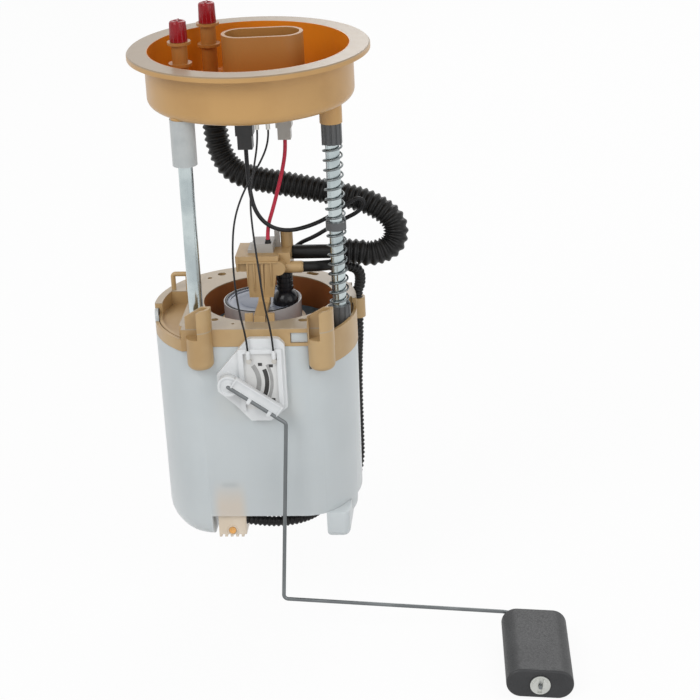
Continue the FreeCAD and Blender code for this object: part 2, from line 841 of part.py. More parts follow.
def handle_post():
    """The bent loop that stands on the left of the ring."""
    x, y = handle_at
    half = handle_span / 2
    corners = ((x + half, y, ring_underside), (x + half, y, ring_top + handle_height),
               (x - half, y, ring_top + handle_height), (x - half, y, ring_underside))
    return swept_tube(bent_wire(corners, handle_bend), handle_wire, "handle")


def jet_socket():
    """The upright socket that joins the two jet tubes, outside the pot's rim."""
    x, y, upper_end = jet_upper_route[-1]
    lower_end = jet_lower_route[0][2]
    socket = rod(jet_socket_diameter, lower_end - jet_socket_depth, upper_end + jet_socket_depth, (x, y))
    half_arm = jet_arm_width / 2
    arm = box((body_at[0] + inner_radius - jet_socket_diameter, x), (y - half_arm, y + half_arm),
              (ring_underside, ring_top))
    post = box((x - jet_socket_diameter / 2 + rim_play, x), (y - half_arm, y + half_arm),
               (upper_end, ring_top))
    return join(socket, post, arm)


def bracket_fingers():
    """The two fingers on the ring that hold the bracket's foot between them."""
    back = opening_at[1] - opening_diameter / 2 + finger_thickness / 2
    pieces = []
    for left in (foot_x[0] - finger_gap - finger_width, foot_x[1] + finger_gap):
        pieces.append(box((left, left + finger_width), (back - finger_thickness, back),
                          (ring_underside, ring_top + finger_height)))
    return Part.makeCompound(pieces)


def pump_seat():
    """The floor and hoop deep in the opening, which carry the pump's cup."""
    bottom = ring_top - opening_depth
    hoop_inside = cup_diameter + 2 * pump_fit
    floor = rod(opening_diameter + opening_wall, bottom, bottom + opening_floor, opening_at)
    hoop = rod(hoop_inside + 2 * opening_wall, bottom, bottom + 3 * opening_floor, pump_at)
    window = box((-opening_diameter, opening_diameter), (seat_window_front, opening_diameter),
                 (bottom - 1, bottom + opening_floor + 1))
    spoke = box((pump_at[0] - seat_spoke_width / 2, pump_at[0] + seat_spoke_width / 2),
                (0, opening_diameter), (bottom - 1, bottom + opening_floor + 1))
    floor = floor.cut(window.cut(spoke))
    return join(floor, hoop).cut(rod(hoop_inside, bottom - 1, ring_top, pump_at))


def holder_ring():
    """The moulded ring: deck, skirt, collar, wells, towers, handle and socket."""
    inside_pot = body_outline(skirt_wall + 2 * rim_play, pot_bottom, ring_top + 1)
    deck = body_outline(0, ring_underside, ring_top)
    bottom = ring_top - opening_depth
    collar = rod(opening_diameter + 2 * opening_wall, bottom, ring_top, opening_at).common(inside_pot)
    left_tray = well_box("left", 0, left_well_floor - well_floor_thickness / 2, ring_top)
    right_tray = well_box("right", 0, bush_bottom, ring_top)
    left_column = rod(bush_diameter + 2 * bush_wall, bush_bottom, ring_top, left_rod_at)
    solid = join(deck, ring_skirt(), collar, left_tray, right_tray, left_column, jet_socket())
    wells = [well_box("left", bush_wall, left_well_floor, ring_top + 1),
             well_box("right", bush_wall, bush_floor, ring_top + 1)]
    x, y, upper_end = jet_upper_route[-1]
    lower_end = jet_lower_route[0][2]
    far = 2 * body_radius
    rim_cut_left = box((-far, left_well_x), (-far, left_rim_back), (left_rim_top, ring_top + 1))
    rim_cut_right = box((right_well_x + 2 * bush_wall, far), (-far, right_rim_back),
                        (right_rim_top, ring_top + 1))
    outer_band = body_outline(-1, ring_underside - rim_cut_depth, ring_top + 2).cut(
        body_outline(skirt_wall + 2 * rim_play + bush_wall, ring_underside - rim_cut_depth, ring_top + 2))
    counterbores = [rod(bush_diameter, bush_floor, ring_top + 1, at) for at in (left_rod_at, right_rod_at)]
    cuts = wells + [rod(opening_diameter, bottom - 1, ring_top + 1, opening_at),
                    box((window_centre_x - window_width / 2, window_centre_x + window_width / 2),
                        (body_front - 1, body_front + skirt_wall), (window_top - window_height, window_top)),
                    rim_cut_left.common(outer_band), rim_cut_right.common(outer_band), *counterbores,
                    rod(jet_tube_diameter + 2 * loose_clearance, upper_end + jet_socket_depth,
                        ring_top + 1, (x, y)),
                    rod(jet_tube_diameter, upper_end, upper_end + jet_socket_depth, (x, y)),
                    rod(jet_tube_diameter, lower_end - jet_socket_depth, lower_end, (x, y)),
                    rod(jet_socket_bore, lower_end - 1, upper_end + 1, (x, y))]
    cuts += [rod(bush_spigot_diameter, bush_bottom - 1, bush_floor + 1, at)
             for at in (left_rod_at, right_rod_at)]
    cuts += [rod(diameter, ring_underside - 1, ring_top + 1, (hole_x, hole_y))
             for hole_x, hole_y, diameter in deck_holes]
    cuts += [stadium(length, width, ring_underside - 1, ring_top + 1, (slot_x, slot_y), angle)
             for slot_x, slot_y, length, width, angle in deck_slots]
    for cut in cuts:
        solid = solid.cut(cut)
    towers = [tower(x, top, lip) for (x, top), lip in zip(tower_places, tower_lips)]
    return fused(solid, pump_seat(), handle_post(), *bracket_fingers().Solids, *towers)


def pot_form(inset, bottom, top):
    """The pot's slightly tapered body with its flat front, moved in by a wall."""
    upper = body_radius - inset
    lower = body_radius - pot_shrink - inset
    cone = taper(2 * lower, 2 * upper, bottom, top, body_at)
    ahead = box((body_at[0] - 2 * upper, body_at[0] + 2 * upper),
                (body_front + inset, body_front - 2 * upper), (bottom - 1, top + 1))
    return cone.cut(ahead)


def pot_recess(wall):
    """The space under the pot's raised floor, grown by a wall, without the front foot."""
    far = 2 * body_radius
    space = box((recess_x[0] - wall, far), (-far, recess_back + wall), (pot_bottom - 1, recess_roof + wall))
    foot = box((recess_x[1] + wall, far), (-far, foot_back - wall),
               (pot_bottom - 2, recess_roof + 2 * wall + 1))
    return space.cut(foot)


def bottom_arc(edge):
    """True for the round edge at a pot form's bottom."""
    box_of_edge = edge.BoundBox
    low = box_of_edge.ZMax < pot_bottom + pot_wall + 0.1
    return low and abs(box_of_edge.ZMax - box_of_edge.ZMin) < 0.01 and isinstance(edge.Curve, Part.Circle)


def pot_latch():
    """The springy tab behind the ring's window, with its nose in the window."""
    behind = body_front + skirt_wall + tab_play
    half = window_width / 2 - clip_gap
    tab = box((window_centre_x - half, window_centre_x + half), (behind, behind + tab_thickness),
              (front_band_bottom - tab_root, ring_underside - clip_gap))
    root = box((window_centre_x - half, window_centre_x + half), (body_front + 1, behind + tab_thickness),
               (front_band_bottom - tab_root, front_band_bottom - clip_gap))
    nose = box((window_centre_x - half, window_centre_x + half), (behind - 1, behind + tab_thickness),
               (window_top - window_height + clip_gap, ring_underside - clip_gap))
    return [root, tab, nose]


def reservoir_pot():
    """The open pot, with a raised floor over its recess and a lowered rim in front."""
    outside = round_edges(pot_form(0, pot_bottom, ring_underside), pot_corner_radius, bottom_arc)
    room = pot_form(pot_wall, pot_bottom + pot_wall, ring_underside + 1)
    room = round_edges(room, pot_corner_radius - pot_wall, bottom_arc)
    shell = outside.cut(room.cut(pot_recess(pot_wall))).cut(pot_recess(0))
    rim = front_region(left_skirt_bottom, right_skirt_bottom, clip_gap)
    band = box((tower_places[0][0] + tower_radius, tower_places[1][0] - tower_radius),
               (body_front - 1, body_front + skirt_wall + 1),
               (right_skirt_bottom - 1, front_band_bottom - clip_gap))
    x, y = jet_lower_route[0][:2]
    socket_room = rod(jet_socket_diameter + 2 * rim_play, jet_lower_route[0][2] - jet_socket_depth - rim_play,
                      ring_underside + 1, (x, y))
    jet_hole = box(jet_pump_x, jet_pump_y, (recess_roof - 1, recess_ceiling + 1))
    inlet = rod(valve_hole_diameter, recess_roof - 1, recess_ceiling + 1, pump_at)
    solid = shell.cut(rim.cut(band)).cut(Part.makeCompound([socket_room, jet_hole, inlet]))
    return fused(solid, *pot_latch())


def pump_cup():
    """The pale cup round the pump, which stands on the pot's floor."""
    shell = rod(cup_diameter, recess_ceiling, cup_top, pump_at)
    room = rod(cup_diameter - 2 * cup_wall, recess_ceiling + cup_floor, cup_top, pump_at)
    port = box((pump_at[0], pump_at[0] + cup_diameter),
               (pump_at[1] - cup_port_width / 2, pump_at[1] + cup_port_width / 2),
               (recess_ceiling - 1, recess_ceiling + cup_port_height))
    ports = [turned(port, angle, pump_at) for angle in cup_port_angles]
    hole = rod(cup_floor_hole, recess_ceiling - 1, recess_ceiling + cup_floor, pump_at)
    return shell.cut(Part.makeCompound([room, hole])).cut(Part.makeCompound(ports))


def pump_isolators():
    """Two rubber rings between the pump and its cup."""
    outside = cup_diameter - 2 * cup_wall
    upper = tube(outside, pump_diameter + 2 * pump_fit, can_top - isolator_height, pump_top - isolator_sink,
                 pump_at)
    lower = tube(outside, pump_diameter + 2 * pump_fit, can_bottom, can_bottom + isolator_height, pump_at)
    return Part.makeCompound([upper, lower])


def pump_can():
    """The steel tube of the pump."""
    return tube(pump_diameter, pump_diameter - 2 * can_wall, can_bottom, can_top, pump_at)


def pump_top_cover():
    """The cover with the outlet port, the brush wells and the upper bearing seat."""
    inside = pump_diameter - 2 * can_wall
    cover = rod(pump_diameter, can_top, pump_top, pump_at)
    spigot_bottom = commutator_top + loose_clearance
    spigot = rod(inside - 2 * pump_fit, spigot_bottom, can_top, pump_at)
    port = rod(elbow_bore, spigot_bottom - 1, pump_top + 1, elbow_at)
    wells = [box((pump_at[0] + side * brush_offset - brush_size / 2 - pump_fit,
                  pump_at[0] + side * brush_offset + brush_size / 2 + pump_fit),
                 (pump_at[1] - brush_size / 2 - pump_fit, pump_at[1] + brush_size / 2 + pump_fit),
                 (spigot_bottom - 1, pump_top - brush_roof)) for side in (-1, 1)]
    return join(cover, spigot).cut(Part.makeCompound([port] + wells)).cut(
        rod(shaft_diameter + 2 * loose_clearance, spigot_bottom - 1, spigot_bottom + 2, pump_at))


def pump_inlet_cover():
    """The lower cover with the inlet port, in the mouth of the can."""
    inside = pump_diameter - 2 * can_wall
    spigot = rod(inside - 2 * pump_fit, can_bottom, inlet_top, pump_at)
    cover = rod(pump_diameter, inlet_bottom, can_bottom, pump_at)
    port = rod(inlet_port_diameter, inlet_bottom - inlet_port_length, inlet_bottom, pump_at)
    bore = rod(inlet_port_diameter - 2 * inlet_port_wall, inlet_bottom - inlet_port_length - 1,
               inlet_top - inlet_roof, pump_at)
    rise_at = (pump_at[0] + impeller_diameter / 2 - vane_depth, pump_at[1])
    rise = rod(inlet_channel_width, inlet_bottom + inlet_channel_floor, inlet_top + 1, rise_at)
    channel = box((pump_at[0], rise_at[0]),
                  (pump_at[1] - inlet_channel_width / 2, pump_at[1] + inlet_channel_width / 2),
                  (inlet_bottom + inlet_channel_floor, inlet_top - inlet_roof))
    return join(spigot, cover, port).cut(bore).cut(rise).cut(channel)


def pump_chamber():
    """The ring and plate that close the impeller's chamber."""
    inside = pump_diameter - 2 * can_wall - 2 * pump_fit
    block = rod(inside, inlet_top, chamber_top, pump_at)
    room = rod(impeller_diameter + 2 * loose_clearance, inlet_top, impeller_top + loose_clearance, pump_at)
    seat = rod(bearing_diameter, impeller_top, chamber_top + 1, pump_at)
    port_at = (pump_at[0] - impeller_diameter / 2 + chamber_port_inset, pump_at[1])
    port = rod(chamber_port_diameter, impeller_top, chamber_top + 1, port_at)
    return block.cut(Part.makeCompound([room, port])).cut(seat)


def impeller():
    """The vaned wheel that moves the fuel."""
    wheel = rod(impeller_diameter, impeller_bottom, impeller_top, pump_at)
    gaps = []
    for index in range(vane_count):
        gap = box((pump_at[0] + impeller_diameter / 2 - vane_depth, pump_at[0] + impeller_diameter / 2 + 1),
                  (pump_at[1] - vane_gap / 2, pump_at[1] + vane_gap / 2),
                  (impeller_bottom - 1, impeller_top + 1))
        gaps.append(turned(gap, 360 / vane_count * index, pump_at))
    return wheel.cut(Part.makeCompound(gaps)).cut(rod(shaft_diameter, impeller_bottom, impeller_top, pump_at))


def armature():
    """The shaft with its slotted core."""
    shaft = rod(shaft_diameter, impeller_bottom, commutator_top + loose_clearance, pump_at)
    core = rod(rotor_diameter, rotor_bottom, rotor_top, pump_at)
    slots = []
    for index in range(rotor_slot_count):
        slot = box((pump_at[0] + rotor_diameter / 2 - rotor_slot_depth, pump_at[0] + rotor_diameter),
                   (pump_at[1] - rotor_slot_width / 2, pump_at[1] + rotor_slot_width / 2),
                   (rotor_bottom - 1, rotor_top + 1))
        slots.append(turned(slot, 360 / rotor_slot_count * index, pump_at))
    return join(shaft, core.cut(Part.makeCompound(slots)))


def commutator():
    """The face commutator at the top of the rotor."""
    disc = rod(commutator_diameter, rotor_top, commutator_top, pump_at)
    return disc.cut(rod(shaft_diameter, rotor_top, commutator_top, pump_at))


def magnets():
    """Two curved magnets inside the can."""
    outside = pump_diameter - 2 * can_wall - 2 * pump_fit
    inside = rotor_diameter + 2 * magnet_gap
    shell = tube(outside, inside, rotor_bottom, rotor_top, pump_at)
    half_gap = (180 - magnet_arc) / 2
    pieces = []
    for angle in (0, 180):
        wedge = Part.makeCylinder(pump_diameter, rotor_length, V(pump_at[0], pump_at[1], rotor_bottom),
                                  UP, magnet_arc)
        pieces.append(turned(wedge, angle + half_gap, pump_at).common(shell))
    return Part.makeCompound(pieces)


def pump_bearings():
    """The bush that carries the shaft above the impeller."""
    return tube(bearing_diameter, shaft_diameter + 2 * running_clearance,
                impeller_top + loose_clearance, chamber_top + bearing_length - chamber_plate / 2, pump_at)


def brushes():
    """Two carbon brushes that stand on the commutator."""
    bottom = commutator_top + cap_seat_gap
    return Part.makeCompound([box((pump_at[0] + side * brush_offset - brush_size / 2,
                                   pump_at[0] + side * brush_offset + brush_size / 2),
                                  (pump_at[1] - brush_size / 2, pump_at[1] + brush_size / 2),
                                  (bottom, bottom + brush_length)) for side in (-1, 1)])


def brush_springs():
    """The small springs that press the brushes down."""
    bottom = commutator_top + cap_seat_gap + brush_length
    return Part.makeCompound([coil_spring(brush_spring_diameter, brush_spring_wire, brush_spring_turns,
                                          bottom, pump_top - brush_roof,
                                          (pump_at[0] + side * brush_offset, pump_at[1]))
                              for side in (-1, 1)])


def inlet_strainer():
    """The fine strainer under the pump's inlet."""
    bottom = recess_ceiling + cup_floor
    rim = rod(strainer_diameter, bottom, bottom + strainer_height, pump_at)
    seat = rod(inlet_port_diameter + 2 * clip_gap, bottom + strainer_floor, bottom + strainer_height, pump_at)
    return rim.cut(seat)


def inlet_valve():
    """The umbrella valve that lets fuel into the pot through its floor."""
    disc = rod(inlet_valve_diameter, recess_ceiling, recess_ceiling + inlet_valve_thickness, pump_at)
    stem = rod(valve_stem, recess_roof - valve_stem_reach, recess_ceiling, pump_at)
    return join(disc, stem)


def outlet_bracket():
    """The moulded outlet body over the pump: web, foot, roof, manifold, nipples and stub."""
    web_front, web_back = web_y
    web = front_plate(((web_bottom_x[0], web_bottom), (web_bottom_x[1], web_bottom),
                       (web_top_x[1], bracket_top), (web_top_x[0], bracket_top)), web_back, web_front)
    foot_end = opening_at[1] - opening_diameter / 2 - foot_overhang
    heel = foot_end + foot_toe_length
    foot_side = [V(foot_x[0], y, z) for y, z in (
        (web_back, web_bottom), (web_front, web_bottom), (web_front - foot_thickness, foot_top),
        (foot_end, foot_top), (foot_end, ring_top), (heel, ring_top),
        (heel + foot_toe_slope, foot_top - foot_thickness),
        (web_back, foot_top - foot_thickness))]
    foot = Part.Face(Part.makePolygon(foot_side + foot_side[:1])).extrude(V(foot_x[1] - foot_x[0], 0, 0))
    roof = box(bracket_roof_x, (web_front, bracket_roof_back), (bracket_top - bracket_roof, bracket_top))
    manifold = box(manifold_x, manifold_y, (manifold_bottom, bracket_top))
    hose_nipple = bar_along_x(hose_nipple_diameter, manifold_x[1], manifold_x[1] + hose_nipple_length,
                              hose_nipple_y, hose_nipple_z)
    jet_neck = bar_along_x(jet_neck_diameter, manifold_x[1], jet_nipple_end, jet_nipple_y, jet_nipple_z)
    jet_collar = bar_along_x(jet_tube_diameter, manifold_x[1] + jet_neck_length, jet_nipple_end,
                             jet_nipple_y, jet_nipple_z)
    stub = rod(stub_diameter, bracket_top, stub_top, stub_at)
    elbow_spigot = rod(elbow_bore, manifold_bottom - elbow_spigot_length, manifold_bottom, elbow_at)
    boss_x = elbow_at[0] - boss_inset
    boss = bar_along_y(boss_diameter, manifold_y[0] + 1, web_front, boss_x, jet_nipple_z + boss_lift)
    groove = front_plate(((web_groove_x[0], bracket_top - bracket_roof - 1),
                          (web_groove_x[1], bracket_top - bracket_roof - 1),
                          ((sum(web_groove_x) + web_rib_width) / 2, web_bottom + 2),
                          ((sum(web_groove_x) - web_rib_width) / 2, web_bottom + 2)),
                         web_front + web_groove_depth, web_front - 1)
    rib_x = sum(web_groove_x) / 2
    rib = box((rib_x - web_rib_width / 2, rib_x + web_rib_width / 2), (web_front, web_back),
              (web_bottom, bracket_top - 1))
    pocket = box(pocket_x, pocket_y, pocket_z)
    link = box((pocket_x[0] + pocket_wall, pocket_x[1] - pocket_wall),
               (pocket_y[0] + pocket_wall, pocket_y[1]), (pocket_z[1] - 1, bracket_top - 1))
    web = join(web.cut(groove), rib)
    solid = join(web, foot, roof, pocket, link, boss, manifold, hose_nipple, jet_neck, jet_collar, stub,
                 elbow_spigot)
    valve_bore = rod(stub_bore, valve_seat, stub_top - stub_roof, stub_at)
    riser = rod(valve_riser_diameter, hose_nipple_z, valve_seat, stub_at)
    return solid.cut(Part.makeCompound([valve_bore, riser]))


def check_valve_poppet():
    """The poppet that rises when fuel flows."""
    bottom = valve_seat + cap_seat_gap
    return rod(poppet_diameter, bottom, bottom + poppet_height, stub_at)


def check_valve_spring():
    """The spring that closes the poppet."""
    bottom = valve_seat + poppet_height + 2 * cap_seat_gap
    return coil_spring(poppet_spring_diameter, poppet_spring_wire, poppet_spring_turns,
                       bottom, stub_top - stub_roof - cap_seat_gap, stub_at)


def bracket_cap():
    """The pale stepped cap that takes the supply wire, with its tab."""
    left, right = cap_block_x
    block = box(cap_block_x, cap_block_y, (bracket_top, bracket_top + cap_block_height))
    step = box((left - cap_step_width, left), cap_block_y, (bracket_top, bracket_top + cap_step_height))
    tab = box((right, right + cap_tab_width), (cap_block_y[1] - cap_tab_depth, cap_block_y[1]),
              (bracket_top, bracket_top + cap_tab_height))
    return join(block, step, tab)


def pump_elbow():
    """The domed outlet of the pump with its short corrugated riser."""
    dome_centre = pump_top + elbow_dome_rise
    dome_top = dome_centre + elbow_dome_diameter / 2 - 1
    ball = Part.makeSphere(elbow_dome_diameter / 2, V(elbow_at[0], elbow_at[1], dome_centre))
    cup_room = rod(cup_diameter - 2 * cup_wall - 2 * clip_gap, pump_top, dome_centre, pump_at)
    dome = join(rod(elbow_dome_diameter, pump_top, dome_centre, elbow_at).common(cup_room),
                ball.common(rod(elbow_dome_diameter + 1, dome_centre, dome_top + 2, elbow_at)))
    sleeve = rod(elbow_diameter, pump_top, manifold_bottom, elbow_at)
    pitch = (manifold_bottom - dome_top) / elbow_ring_count
    gap = pitch * (1 - elbow_ring_share) / 2
    levels = [dome_top + pitch * index for index in range(elbow_ring_count)]
    rings = [rod(elbow_diameter + 2 * elbow_ring_rise, level + gap, level + pitch - gap, elbow_at)
             for level in levels]
    return join(dome, sleeve, *rings).cut(rod(elbow_bore, pump_top, manifold_bottom, elbow_at))


def feed_hose_end():
    """The smooth end of the feed hose, pushed on the manifold's nipple."""
    x, y, z = feed_hose_route[-1]
    sleeve = bar_along_x(hose_end_diameter, manifold_x[1], x, y, z)
    nipple_end = manifold_x[1] + hose_nipple_length
    return sleeve.cut(bar_along_x(hose_nipple_diameter, manifold_x[1], nipple_end, y, z))


def relief_centre():
    """The place of the plug in the jet pump's front, in X and Z."""
    return sum(jet_pump_x) / 2, jet_pump_bottom + relief_diameter


def jet_pump():
    """The block in the recess that draws fuel up into the pot."""
    middle = (sum(jet_pump_x) / 2, sum(jet_pump_y) / 2)
    block = box(jet_pump_x, jet_pump_y, (jet_pump_bottom, jet_pump_top))
    riser = rod(jet_riser_diameter, jet_pump_top, jet_pump_top + jet_riser_height, middle)
    bore = rod(jet_riser_bore, jet_pump_bottom + jet_bore_floor, jet_pump_top + jet_riser_height + 1, middle)
    front = jet_pump_y[0]
    x, z = relief_centre()
    relief = bar_along_y(relief_diameter, front + relief_depth, front - 1, x, z)
    return join(block, riser).cut(Part.makeCompound([bore, relief]))


def relief_plug():
    """The small plug in the front of the jet pump."""
    front = jet_pump_y[0]
    x, z = relief_centre()
    return bar_along_y(relief_diameter, front + relief_depth, front, x, z)


def sender_body():
    """The pale frame on the front of the pot, with rails, a recess and the lever's bearing."""
    floor = sender_front + sender_recess
    plate = front_plate(sender_outline, sender_back, floor)
    plate = plate.makeFillet(sender_corner_radius, [edge for edge in plate.Edges if edge.BoundBox.YLength > 1
                                   and edge.BoundBox.ZMax > track_top])
    rails = [box((x, x + sender_rail), (sender_back, sender_front), (track_bottom, track_top))
             for x in (track_x[0] - sender_rail, track_x[1])]
    head = box((track_x[0] - sender_rail, track_x[1] + sender_rail), (sender_back, sender_front),
               (track_top, track_top + sender_rail))
    bearing = bar_along_y(hub_diameter, sender_back, bearing_front, pivot_at[0], pivot_at[1])
    bore = bar_along_y(pivot_pin_diameter + 2 * running_clearance, sender_back, bearing_front - 1,
                       pivot_at[0], pivot_at[1])
    return join(plate, bearing, head, *rails).cut(track_bed()).cut(bore)


def track_bed():
    """The shallow bed for the resistor card."""
    floor = sender_front + sender_recess
    bed = box(track_x, (floor, floor + track_thickness), (track_bottom, track_top))
    return bed.cut(bar_along_y(hub_diameter, sender_back, bearing_front, pivot_at[0], pivot_at[1]))


def sender_track():
    """The resistor card in the sender's recess."""
    return track_bed()


def sender_studs():
    """Two metal studs where the thin wires end."""
    face = sender_front + sender_recess
    return Part.makeCompound([bar_along_y(stud_diameter, face, face - stud_height, x, z)
                              for x, z in stud_places])


def lever_frame(shape):
    """Turn a lever drawn along X about the pivot to its slope."""
    shape.rotate(V(pivot_at[0], 0, pivot_at[1]), V(0, -1, 0), lever_slope)
    return shape


def arm_holder():
    """The pale lever that turns on the sender and clips round the float wire."""
    x, z = pivot_at
    back = arm_plane + lever_thickness
    front = arm_plane - arm_wire / 2
    hub = bar_along_y(hub_diameter, bearing_front - loose_clearance, front, x, z)
    pin = bar_along_y(pivot_pin_diameter, sender_back - pin_inset, front, x, z)
    lever = box((x, x + lever_reach), (back, front), (z - lever_width / 2, z + lever_width / 2))
    groove = box((x - arm_wire, x + lever_reach + 1),
                 (arm_plane + arm_wire / 2, front - 1),
                 (z - arm_wire / 2, z + arm_wire / 2))
    clips = [box((x + place, x + place + lever_clip_length), (front, front - clip_wall),
                 (z - lever_width / 2, z + lever_width / 2)) for place in lever_clip_places]
    lever = lever_frame(lever.cut(groove))
    clips = [lever_frame(clip) for clip in clips]
    tunnel = lever_frame(groove)
    return join(hub, lever).cut(tunnel).fuse(pin).fuse(clips).removeSplitter()


def float_wire():
    """The bent wire from the lever to the float."""
    x, z = pivot_at
    slope = math.radians(lever_slope)
    corners = [(x + arm_wire * math.cos(slope), arm_plane, z + arm_wire * math.sin(slope))]
    corners += [(corner[0], arm_plane, corner[1]) for corner in arm_corners]
    last = arm_corners[-1]
    end = arm_plane - float_end_gap - float_length - retainer_thickness - wire_tail
    corners.append((last[0] + (arm_plane - end) * math.tan(math.radians(float_yaw)), end, last[1]))
    return swept_tube(bent_wire(corners, arm_bend_radius), arm_wire, "float wire")


def on_float_axis(shape):
    """Turn a piece drawn along -Y onto the leaning end of the float wire."""
    x, z = arm_corners[-1]
    shape.rotate(V(x, arm_plane, z), UP, float_yaw)
    return shape


def wiper_contact():
    """The sprung contact under the lever that touches the track."""
    x, z = pivot_at
    back = arm_plane + lever_thickness
    strip = box((x + wiper_reach[0], x + wiper_reach[1]), (back + wiper_thickness, back),
                (z - wiper_width / 2, z + wiper_width / 2))
    return lever_frame(strip)


def fuel_float():
    """The float: a block with half-round sides on the end of the wire."""
    x, z = arm_corners[-1]
    back = arm_plane - float_end_gap - arm_bend_radius
    front = arm_plane - float_end_gap - float_length
    reach = (float_width - float_thickness) / 2
    half = float_thickness / 2
    middle = box((x - reach, x + reach), (back, front), (z - half, z + half))
    sides = [bar_along_y(float_thickness, back, front, x + side * reach, z) for side in (-1, 1)]
    body = join(middle, *sides)
    body = round_edges(body, float_edge, lambda edge: edge.BoundBox.YMax - edge.BoundBox.YMin < 0.01)
    body = body.cut(bar_along_y(arm_wire + 2 * float_bore_clearance, back, front, x, z))
    body.rotate(V(x, 0, z), V(0, -1, 0), float_tilt)
    return on_float_axis(body)


def float_retainer():
    """The pressed clip that keeps the float on its wire."""
    x, z = arm_corners[-1]
    back = arm_plane - float_end_gap - float_length - loose_clearance
    disc = bar_along_y(retainer_diameter, back, back - retainer_thickness, x, z)
    return on_float_axis(disc.cut(bar_along_y(arm_wire, back, back - retainer_thickness, x, z)))


nodes = {
    "flange_cover": flange_cover,
    "connector_pins": connector_pins,
    "front_cap": lambda: cap(front_nipple_at),
    "rear_cap": lambda: cap(rear_nipple_at),
    "left_rod": lambda: guide_rod(left_rod_at),
    "right_rod": lambda: guide_rod(right_rod_at),
    "rod_clips": rod_clips,
    "left_rod_sleeve": left_rod_sleeve,
    "right_rod_sleeve": right_rod_sleeve,
    "spring_upper": spring_upper,
    "spring_lower": spring_lower,
    "spring_collar": spring_collar,
    "black_plug": lambda: plug(black_plug_at, black_plug_size, black_plug_length),
    "white_plug": lambda: plug(white_plug_at, white_plug_size, white_plug_length),
    "sender_terminals": sender_terminals,
    "holder_ring": holder_ring,
    "left_bush": lambda: guide_bush(left_rod_at),
    "right_bush": lambda: guide_bush(right_rod_at),
    "reservoir_pot": reservoir_pot,
    "pump_cup": pump_cup,
    "pump_isolators": pump_isolators,
    "pump_can": pump_can,
    "pump_top_cover": pump_top_cover,
    "pump_inlet_cover": pump_inlet_cover,
    "pump_chamber": pump_chamber,
    "impeller": impeller,
    "armature": armature,
    "commutator": commutator,
    "magnets": magnets,
    "pump_bearings": pump_bearings,
    "brushes": brushes,
    "brush_springs": brush_springs,
    "inlet_strainer": inlet_strainer,
    "inlet_valve": inlet_valve,
    "outlet_bracket": outlet_bracket,
    "check_valve_poppet": check_valve_poppet,
    "check_valve_spring": check_valve_spring,
    "bracket_cap": bracket_cap,
    "pump_elbow": pump_elbow,
    "feed_hose_end": feed_hose_end,
    "jet_pump": jet_pump,
    "relief_plug": relief_plug,
    "sender_body": sender_body,
    "sender_track": sender_track,
    "sender_studs": sender_studs,
    "arm_holder": arm_holder,
    "float_wire": float_wire,
    "wiper_contact": wiper_contact,
    "fuel_float": fuel_float,
    "float_retainer": float_retainer,
    "feed_hose": lambda: cord(feed_hose_route, feed_hose_diameter, "feed hose"),
    "jet_tube_upper": lambda: cord(jet_upper_route, jet_tube_diameter, "upper jet tube"),
    "jet_tube_lower": lambda: cord(jet_lower_route, jet_tube_diameter, "lower jet tube"),
    "red_wire": lambda: cord(red_wire_route, red_wire_diameter, "red wire"),
    "black_wire": lambda: cord(black_wire_route, black_wire_diameter, "black wire"),
    "left_thin_wire": lambda: cord(left_thin_route, thin_wire_diameter, "left thin wire"),
    "right_thin_wire": lambda: cord(right_thin_route, thin_wire_diameter, "right thin wire"),
}

os.makedirs("parts", exist_ok=True)
for name, make in nodes.items():
    shape = make()
    print(name, "solids", len(shape.Solids), "volume", round(shape.Volume), "valid", shape.isValid())
    shape.exportStep(os.path.join("parts", name + ".step"))
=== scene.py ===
# %% [markdown]
# # A fuel pump module, dressed for its picture
# The object hangs in a car's fuel tank: a round plastic flange closes the tank, two plated rods
# hang from it, and a milky pot with the pump inside slides on the rods against two springs. The
# solids come from the CAD model and stay as they are. This lesson adds the camera, the hoses and
# wires, the small parts that CAD keeps plain, and a finish for every surface.
# %% Load the frame
import json
import math
import bmesh
import bpy
import numpy as np
from mathutils import Matrix, Vector


